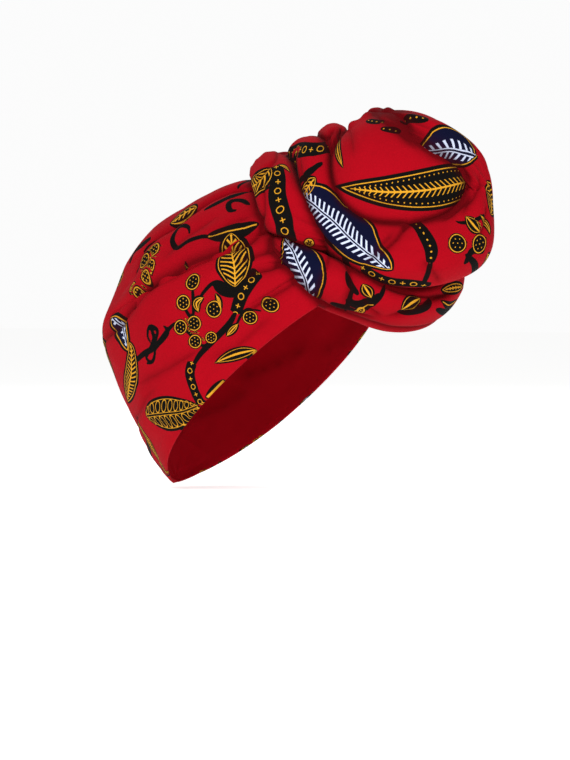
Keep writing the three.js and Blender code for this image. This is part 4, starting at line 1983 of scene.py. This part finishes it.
PRINTS: dict[str, tuple[Stamp, ...]] = {
    "cap": stamps({
        Ornament.SEED: (
            (5.9, 1, (12, 124)), (5.5, 1, (4, 136)), (6.4, 1, (-12, 119)), (5.9, 1, (-12, 137)),
            (5.7, 1, (-8, 147)), (5.7, 1, (-23, 144)), (5.2, 1, (-28, 132)), (6.4, 1, (-26, 82)),
            (5.7, 1, (-30, 99)), (4.6, 1, (45, 140)), (4.8, 1, (36, 145)), (4.1, 1, (37, 162)),
            (4.1, 1, (33, 161)), (5, 1, (44, 148)), (4, 1, (34, 150)),
        ),
        Ornament.ALMOND: (
            (3.8, 1, (-1, 121), (-1, 128), (-8, 130)),
            (3.6, 1, (-30, 108), (-34, 122)),
            (6, 1.2, (-45, 143), (-49, 125), (-54, 108)),
            (2.2, 1, (26, 125), (24, 124)),
            (2.8, 1, (-3, 113), (-9, 113), (-16, 115)),
        ),
        Ornament.INK: (
            (1.5, 1, (10, 125), (0, 130), (-10, 136)),
            (1.4, 1, (3, 137), (-5, 137), (-12, 136)),
            (1.4, 1, (-1, 128), (2, 119), (3, 111), (0, 105)),
            (1.3, 1, (-29, 89), (-24, 99), (-33, 114)),
            (2.8, 0.8, (-22, 106), (-27, 115), (-31, 133), (-33, 149), (-36, 160)),
            (2.3, 1, (9, 202), (2, 184), (-4, 171), (-3, 156), (-3, 148)),
            (1.7, 1, (3, 163), (8, 165), (1, 169), (-1, 177), (-2, 184), (-7, 183)),
            (1.5, 1, (-6, 168), (-4, 157), (2, 157)),
            (3, 1, (20, 88), (11, 85), (2, 83)),
            (4.6, 1, (3, 111), (-5, 106), (-10, 99), (-8, 92)),
            (1.8, 1, (26, 104), (30, 110), (33, 118), (34, 125), (42, 128), (49, 123), (43, 117),
             (39, 117)),
            (2.2, 1, (49, 108), (48, 99), (49, 91), (53, 84)),
            (1.8, 1, (36, 82), (43, 88), (43, 93), (36, 92), (34, 88)),
            (2.6, 1, (47, 158), (47, 150), (46, 142)),
            (1.6, 1, (56, 150), (55, 143), (55, 137)),
            (2.4, 1, (5, 242), (-10, 250), (1, 281), (-37, 283)),
            (3, 1, (64, 202), (52, 212), (41, 222)),
            (1.4, 1, (-1, 173), (6, 172), (9, 166), (3, 163), (-1, 169), (0, 180)),
            (1.6, 1, (-5, 173), (-8, 181), (-4, 187)),
            (2.6, 1, (62, 162), (67, 157), (62, 149), (59, 142)),
            (1.6, 1, (-8, 147), (-15, 144), (-23, 144)),
            (1.4, 1, (-23, 144), (-30, 140), (-29, 132)),
        ),
        Ornament.RING_BAND: (
            (4.6, 1, (-5, 82), (-9, 89), (-15, 98), (-22, 106)),
            (4.4, 1, (-33, 157), (-37, 164), (-47, 171), (-58, 176)),
        ),
        Ornament.LINED: (
            (3.4, 1, (-59, 170), (-60, 159), (-60, 145)),
            (4.2, 1, (28, 107), (24, 97), (22, 87), (22, 76)),
        ),
        Ornament.LOOP_LEAF: (
            (13, 0.9, (-16, 225), (-34, 208), (-48, 194), (-58, 179)),
        ),
        Ornament.WHITE_FERN: (
            (8.5, 1, (47, 190), (28, 188), (16, 195)),
        ),
        Ornament.RIB_LEAF: (
            (9, 0.9, (19, 187), (11, 195), (6, 207), (11, 234)),
            (5, 1, (2, 238), (-10, 250), (-14, 269), (-27, 288)),
            (12.5, 0.9, (22, 92), (14, 94), (4, 95), (-8, 99)),
            (6, 1, (59, 130), (59, 122), (58, 112)),
        ),
        Ornament.GOLD_FERN: (
            (6, 1, (63, 207), (48, 210), (38, 217), (32, 226)),
        ),
    }),
    "cloth_knot_centre": stamps({
        Ornament.GOLD_FERN: (
            (16, 1.9, (-54, -17), (-37, -24), (-9, -30), (18, -28), (45, -18), (70, -3)),
        ),
        Ornament.INK: (
            (3, 1, (-40, 57), (-27, 45)),
        ),
        Ornament.DOT_BAND: (
            (3.6, 1, (-24, 34), (-18, 28), (-11, 25)),
            (3.2, 1, (-13, 18), (-7, 16), (0, 13)),
        ),
        Ornament.ALMOND: (
            (4.2, 1, (-53, 38), (-49, 14), (-42, -7)),
        ),
    }),
    "cloth_front_coil": stamps({
        Ornament.DOT_BAND: (
            (4.8, 1, (254, -52), (266, -43), (271, -33), (272, -25), (270, -16)),
            (4.4, 1, (424, 2), (417, 6), (407, 9)),
        ),
        Ornament.INK: (
            (1.8, 1, (271, -19), (268, -6), (265, 5)),
            (2.5, 1, (289, -7), (296, -13), (304, -6)),
            (2.8, 1, (218, -8), (219, -2), (222, 1)),
            (2.6, 0.6, (160, -4), (159, -15), (155, -26)),
            (3.2, 1, (172, -14), (173, -22), (173, -27)),
            (2.4, 1, (291, -14), (296, -2), (297, 13), (291, 19)),
            (1.6, 1, (300, -34), (310, -26), (323, -16)),
            (2.2, 1, (125, 6), (153, 0), (167, -5)),
        ),
        Ornament.SEED: (
            (7, 1, (289, -23)), (6.4, 1, (303, -13)), (6, 1, (308, 10)),
        ),
        Ornament.ALMOND: (
            (6, 1, (312, -30), (309, -23), (308, -17)),
            (4.5, 1, (306, -2), (305, 15)),
            (3.6, 1, (320, -21), (317, -13), (313, -8)),
        ),
        Ornament.RING_BAND: (
            (4.4, 1, (230, -5), (239, -2), (248, 0), (259, 1), (269, 5)),
            (4.6, 1, (118, 6), (140, -7), (145, -21), (142, -30)),
            (3.6, 1, (135, -1), (138, 3), (147, 5)),
        ),
        Ornament.RIB_LEAF: (
            (8, 1, (352, 0), (341, -2), (326, -9)),
            (6.5, 1, (171, -4), (168, -12), (163, -21)),
        ),
        Ornament.WHITE_FERN: (
            (14, 1, (407, -11), (399, -7), (390, -2), (379, 1), (367, 4)),
            (20, 1.1, (163, 1), (180, -15), (200, -23), (222, -22), (238, -18), (249, -11)),
        ),
    }),
    "cloth_back_wrap": stamps({
        Ornament.RING_BAND: (
            (5.4, 1, (73, 8), (63, 7), (54, 4), (43, 0), (35, -4), (29, -11)),
        ),
        Ornament.SEED: (
            (3.4, 1, (19, -7)),
        ),
        Ornament.RIB_LEAF: (
            (10, 1, (77, -20), (69, -4), (75, 5)),
        ),
        Ornament.INK: (
            (2.2, 1, (84, -23), (64, -6), (59, 1)),
            (2.6, 1, (79, -9), (75, -1), (73, 5)),
        ),
        Ornament.ALMOND: (
            (3, 1, (75, 9), (73, 14), (67, 18)),
        ),
    }),
    "cloth_forehead_roll": stamps({
        Ornament.WHITE_FERN: (
            (18, 1, (6, -14), (18, -14), (30, -8), (40, -1), (46, 10)),
        ),
        Ornament.INK: (
            (2.6, 1, (58, -24), (63, -15), (70, -10)),
            (3.2, 1, (64, -3), (72, -4), (79, -10), (82, -16)),
            (3, 1, (96, -7), (105, -9), (114, -12), (118, -18)),
            (2.4, 1, (132, -6), (144, 1), (153, 0)),
            (2.6, 1, (56, 2), (66, 2), (73, 1)),
            (1.7, 1, (65, -14), (66, -4), (67, 7)),
            (1.7, 1, (84, -25), (82, -13), (78, -2)),
            (2.6, 1, (121, -10), (134, -2), (146, 0)),
        ),
        Ornament.ALMOND: (
            (4.8, 1, (70, -19), (74, -15), (78, -11)),
            (6.6, 1, (98, -9), (104, -15), (111, -19)),
        ),
        Ornament.SEED: (
            (3.2, 1, (75, -1)),
        ),
        Ornament.RIB_LEAF: (
            (5, 1, (127, -22), (139, -18), (153, -11)),
        ),
        Ornament.LINED: (
            (2.6, 1, (71, 3), (76, -4), (82, -8)),
            (3, 1, (124, -15), (133, -8), (147, -4)),
        ),
    }),
}
REPEAT = Repeat(wide=114, high=103, stamps=stamps({
    Ornament.RING_BAND: (
        (4.6, 1, (0, 8), (15, 18), (26, 35), (29, 52)),
    ),
    Ornament.LOOP_LEAF: (
        (12, 1, (41, 7), (53, 13), (67, 17), (81, 15)),
    ),
    Ornament.GOLD_FERN: (
        (13, 1, (50, 42), (69, 49), (88, 45), (107, 35)),
    ),
    Ornament.WHITE_FERN: (
        (13.5, 1, (5, 66), (17, 76), (31, 82), (48, 84)),
    ),
    Ornament.RIB_LEAF: (
        (9.5, 1, (86, 67), (84, 81), (77, 94)),
    ),
    Ornament.DOT_BAND: (
        (5, 1, (96, 57), (104, 66), (104, 79)),
    ),
    Ornament.SEED: (
        (5.4, 1, (93, 8)), (5, 1, (102, 15)), (5, 1, (94, 20)), (4.6, 1, (103, 3)),
        (5, 1, (57, 67)), (5.2, 1, (66, 71)), (4.8, 1, (58, 77)),
    ),
    Ornament.ALMOND: (
        (4.6, 1, (38, 54), (43, 62), (50, 66)),
        (4.2, 1, (12, 35), (7, 42), (7, 52)),
    ),
    Ornament.INK: (
        (1.8, 1, (31, 8), (37, 17), (32, 25), (38, 32), (45, 30)),
        (1.7, 1, (57, 32), (67, 35), (76, 30), (72, 25)),
        (1.8, 1, (57, 92), (67, 89), (72, 96), (65, 101)),
        (1.8, 1, (96, 25), (93, 30), (84, 32)),
    ),
}))
SEEN: dict[str, tuple[Box, ...]] = {
    "cap": table(Box, (-60, 30, 31, 80), (-60, 80, 54, 190), (-60, 190, 50, 240),
                 (-40, 240, 14, 310)),
    "cloth_knot_centre": table(Box, (-58, -50, 58, 48)),
    "cloth_front_coil": table(Box, (118, -36, 200, 4), (200, -44, 300, 6), (300, -40, 360, 4),
                              (360, -14, 464, 12)),
    "cloth_back_wrap": table(Box, (0, -20, 120, 22)),
    "cloth_forehead_roll": table(Box, (0, -30, 160, 12)),
    "cloth_top_wrap": table(Box, (14, -12, 54, 12)),
}


def direction(azimuth: float, elevation: float) -> Vector:
    """The way from the object to a place round it."""
    a, e = math.radians(azimuth), math.radians(elevation)
    return Vector((math.sin(a) * math.cos(e), -math.cos(a) * math.cos(e), math.sin(e)))


def set_up(name: str, data: bpy.types.ID, target: Vector, back: Vector,
           away: float) -> bpy.types.Object:
    """Puts a camera or a lamp so far from a target, facing it.

    Args:
        name: The new object's name.
        data: The camera or the lamp.
        target: The target.
        back: Direction from the target to the new object.
        away: Distance from the target.

    Returns:
        The new object.
    """
    thing = bpy.data.objects.new(name, data)
    thing.location = target + back * away
    thing.rotation_mode = "QUATERNION"
    thing.rotation_quaternion = (-back).to_track_quat("-Z", "Y")
    bpy.context.scene.collection.objects.link(thing)
    return thing


@dataclass(frozen=True)
class Lamp:
    """A large soft lamp that faces the object."""

    name: str  # its name
    azimuth: float  # degrees round the vertical; 0 is in front of the face
    elevation: float  # degrees above the horizon
    away: float  # distance in metres
    size: float  # width in metres
    power: float  # power in watts

    def build(self, height: float) -> None:
        """Adds the lamp.

        Args:
            height: Height of the object's middle, in metres.
        """
        data = bpy.data.lights.new(self.name, "AREA")
        data.shape, data.size, data.energy = "DISK", self.size, self.power
        target = Vector((0.0, 0.0, height))
        set_up(self.name, data, target, direction(self.azimuth, self.elevation), self.away)


@dataclass(frozen=True)
class Floor:
    """A wide pale floor below the lowest point of the solids."""

    gap: float = 0.003  # distance below them, in metres
    half: float = 6.0  # half its width, in metres
    pale: Dye = Dye(0.9, 0.9, 0.89)  # its colour
    roughness: float = 0.9  # its roughness
    glow: float = 0.71  # strength of its own faint light

    def build(self) -> None:
        """Adds the floor."""
        corners = ((-1, -1), (1, -1), (1, 1), (-1, 1))
        mesh = bpy.data.meshes.new("floor")
        mesh.from_pydata([(x * self.half, y * self.half, CAD_BOX[0].z - self.gap)
                          for x, y in corners], [], [(0, 1, 2, 3)])
        material = bpy.data.materials.new("pale_floor")
        material.use_nodes = True
        tree = material.node_tree
        Nodes(tree).feed(tree.nodes["Principled BSDF"], {
            "Base Color": self.pale.rgba(), "Roughness": self.roughness,
            "Specular IOR Level": 0.0, "Emission Color": (1.0, 1.0, 1.0, 1.0),
            "Emission Strength": self.glow})
        mesh.materials.append(material)
        thing = bpy.data.objects.new("floor", mesh)
        bpy.context.scene.collection.objects.link(thing)


@dataclass(frozen=True)
class Studio:
    """Plain pale floor, soft light, and the camera at the photograph's angle.

    Attributes:
        azimuth: The camera's direction, in degrees; 0 is in front of the face.
        elevation: Its degrees above the horizon.
        distance: Its distance in metres.
        side: How far to its right the picture's middle is, in metres.
        height: Height of the picture's middle, in metres.
        lens: Its focal length.
        sensor: Its sensor's size.
        lamps: The lamps.
        surround: Strength of the light from all round.
        backdrop: Strength of the background that the camera sees.
        floor: The floor.
    """

    azimuth: float = -62.0
    elevation: float = 1.5
    distance: float = 3.0
    side: float = 0.0203
    height: float = -0.1293
    lens: float = 216.9
    sensor: float = 36.0
    lamps: tuple[Lamp, ...] = (Lamp("key", -78, 38, 1.6, 0.9, 17.5),
                               Lamp("fill", -20, 20, 1.8, 1.2, 5),
                               Lamp("back", 115, 45, 1.8, 1.2, 9))
    surround: float = 0.27
    backdrop: float = 0.97
    floor: Floor = Floor()

    def camera(self) -> None:
        """Places the camera."""
        data = bpy.data.cameras.new("camera")
        data.sensor_fit, data.lens = "VERTICAL", self.lens
        data.sensor_width = data.sensor_height = self.sensor
        target = direction(self.azimuth + 90, 0) * self.side + Vector((0.0, 0.0, self.height))
        back = direction(self.azimuth, self.elevation)
        bpy.context.scene.camera = set_up("camera", data, target, back, self.distance)

    def world(self) -> None:
        """Adds the light from all round, and a paler background for the camera."""
        world = bpy.data.worlds.new("surround")
        world.use_nodes = True
        nodes = Nodes(world.node_tree)
        seen = nodes.add("ShaderNodeLightPath", "Is Camera Ray")
        strength = nodes.add("ShaderNodeMix", "Result", inputs={
            "Factor": seen, "A": self.surround, "B": self.backdrop})
        nodes.feed(world.node_tree.nodes["Background"], {
            "Color": (1.0, 1.0, 1.0, 1.0), "Strength": strength})
        bpy.context.scene.world = world

    def build(self) -> None:
        """Adds the camera, lamps, surrounding light and floor."""
        self.camera()
        for lamp in self.lamps:
            lamp.build(self.height)
        self.world()
        bpy.context.scene.view_settings.view_transform = "Standard"
        self.floor.build()


def declare(piece: Dressed, node: str) -> None:
    """Hides a piece's solid and hangs the piece under the root body.

    Args:
        piece: The built piece.
        node: The solid that it stands for.
    """
    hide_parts(node)
    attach(piece.thing, "root")
    node == "crown"


def main() -> None:
    """Builds the cap, the strands and the studio, and reports each piece."""
    logging.basicConfig(level=logging.INFO, format="%(message)s")
    cap = Cap(HeadForm(), CAP_STAND_OFF, CAP_FOLDS, CAP_RIPPLES, CAP_CREASES)
    lift = -cap.seat()
    pieces = {"crown": cap.build("cap", lift)}
    for maker in (*STRANDS, KnotDome(creases=DOME_CREASES)):
        pieces[maker.name] = maker.build("cloth_" + maker.name, lift)
    SeamShade().lay(list(pieces.values()))
    cotton = WaxCotton().build()
    for node, piece in pieces.items():
        name = piece.thing.name
        ornaments = REPEAT.over(piece.cloth, PRINTS.get(name, ()), SEEN.get(name, ()))
        lay_print(piece, ornaments)
        piece.thing.data.materials.append(cotton)
        declare(piece, node)
        LOG.info("%s: %d vertices, %d faces, %d ornaments", name, len(piece.thing.data.vertices),
                 len(piece.thing.data.polygons), len(ornaments))
    Studio().build()


if __name__ == "__main__":
    main()
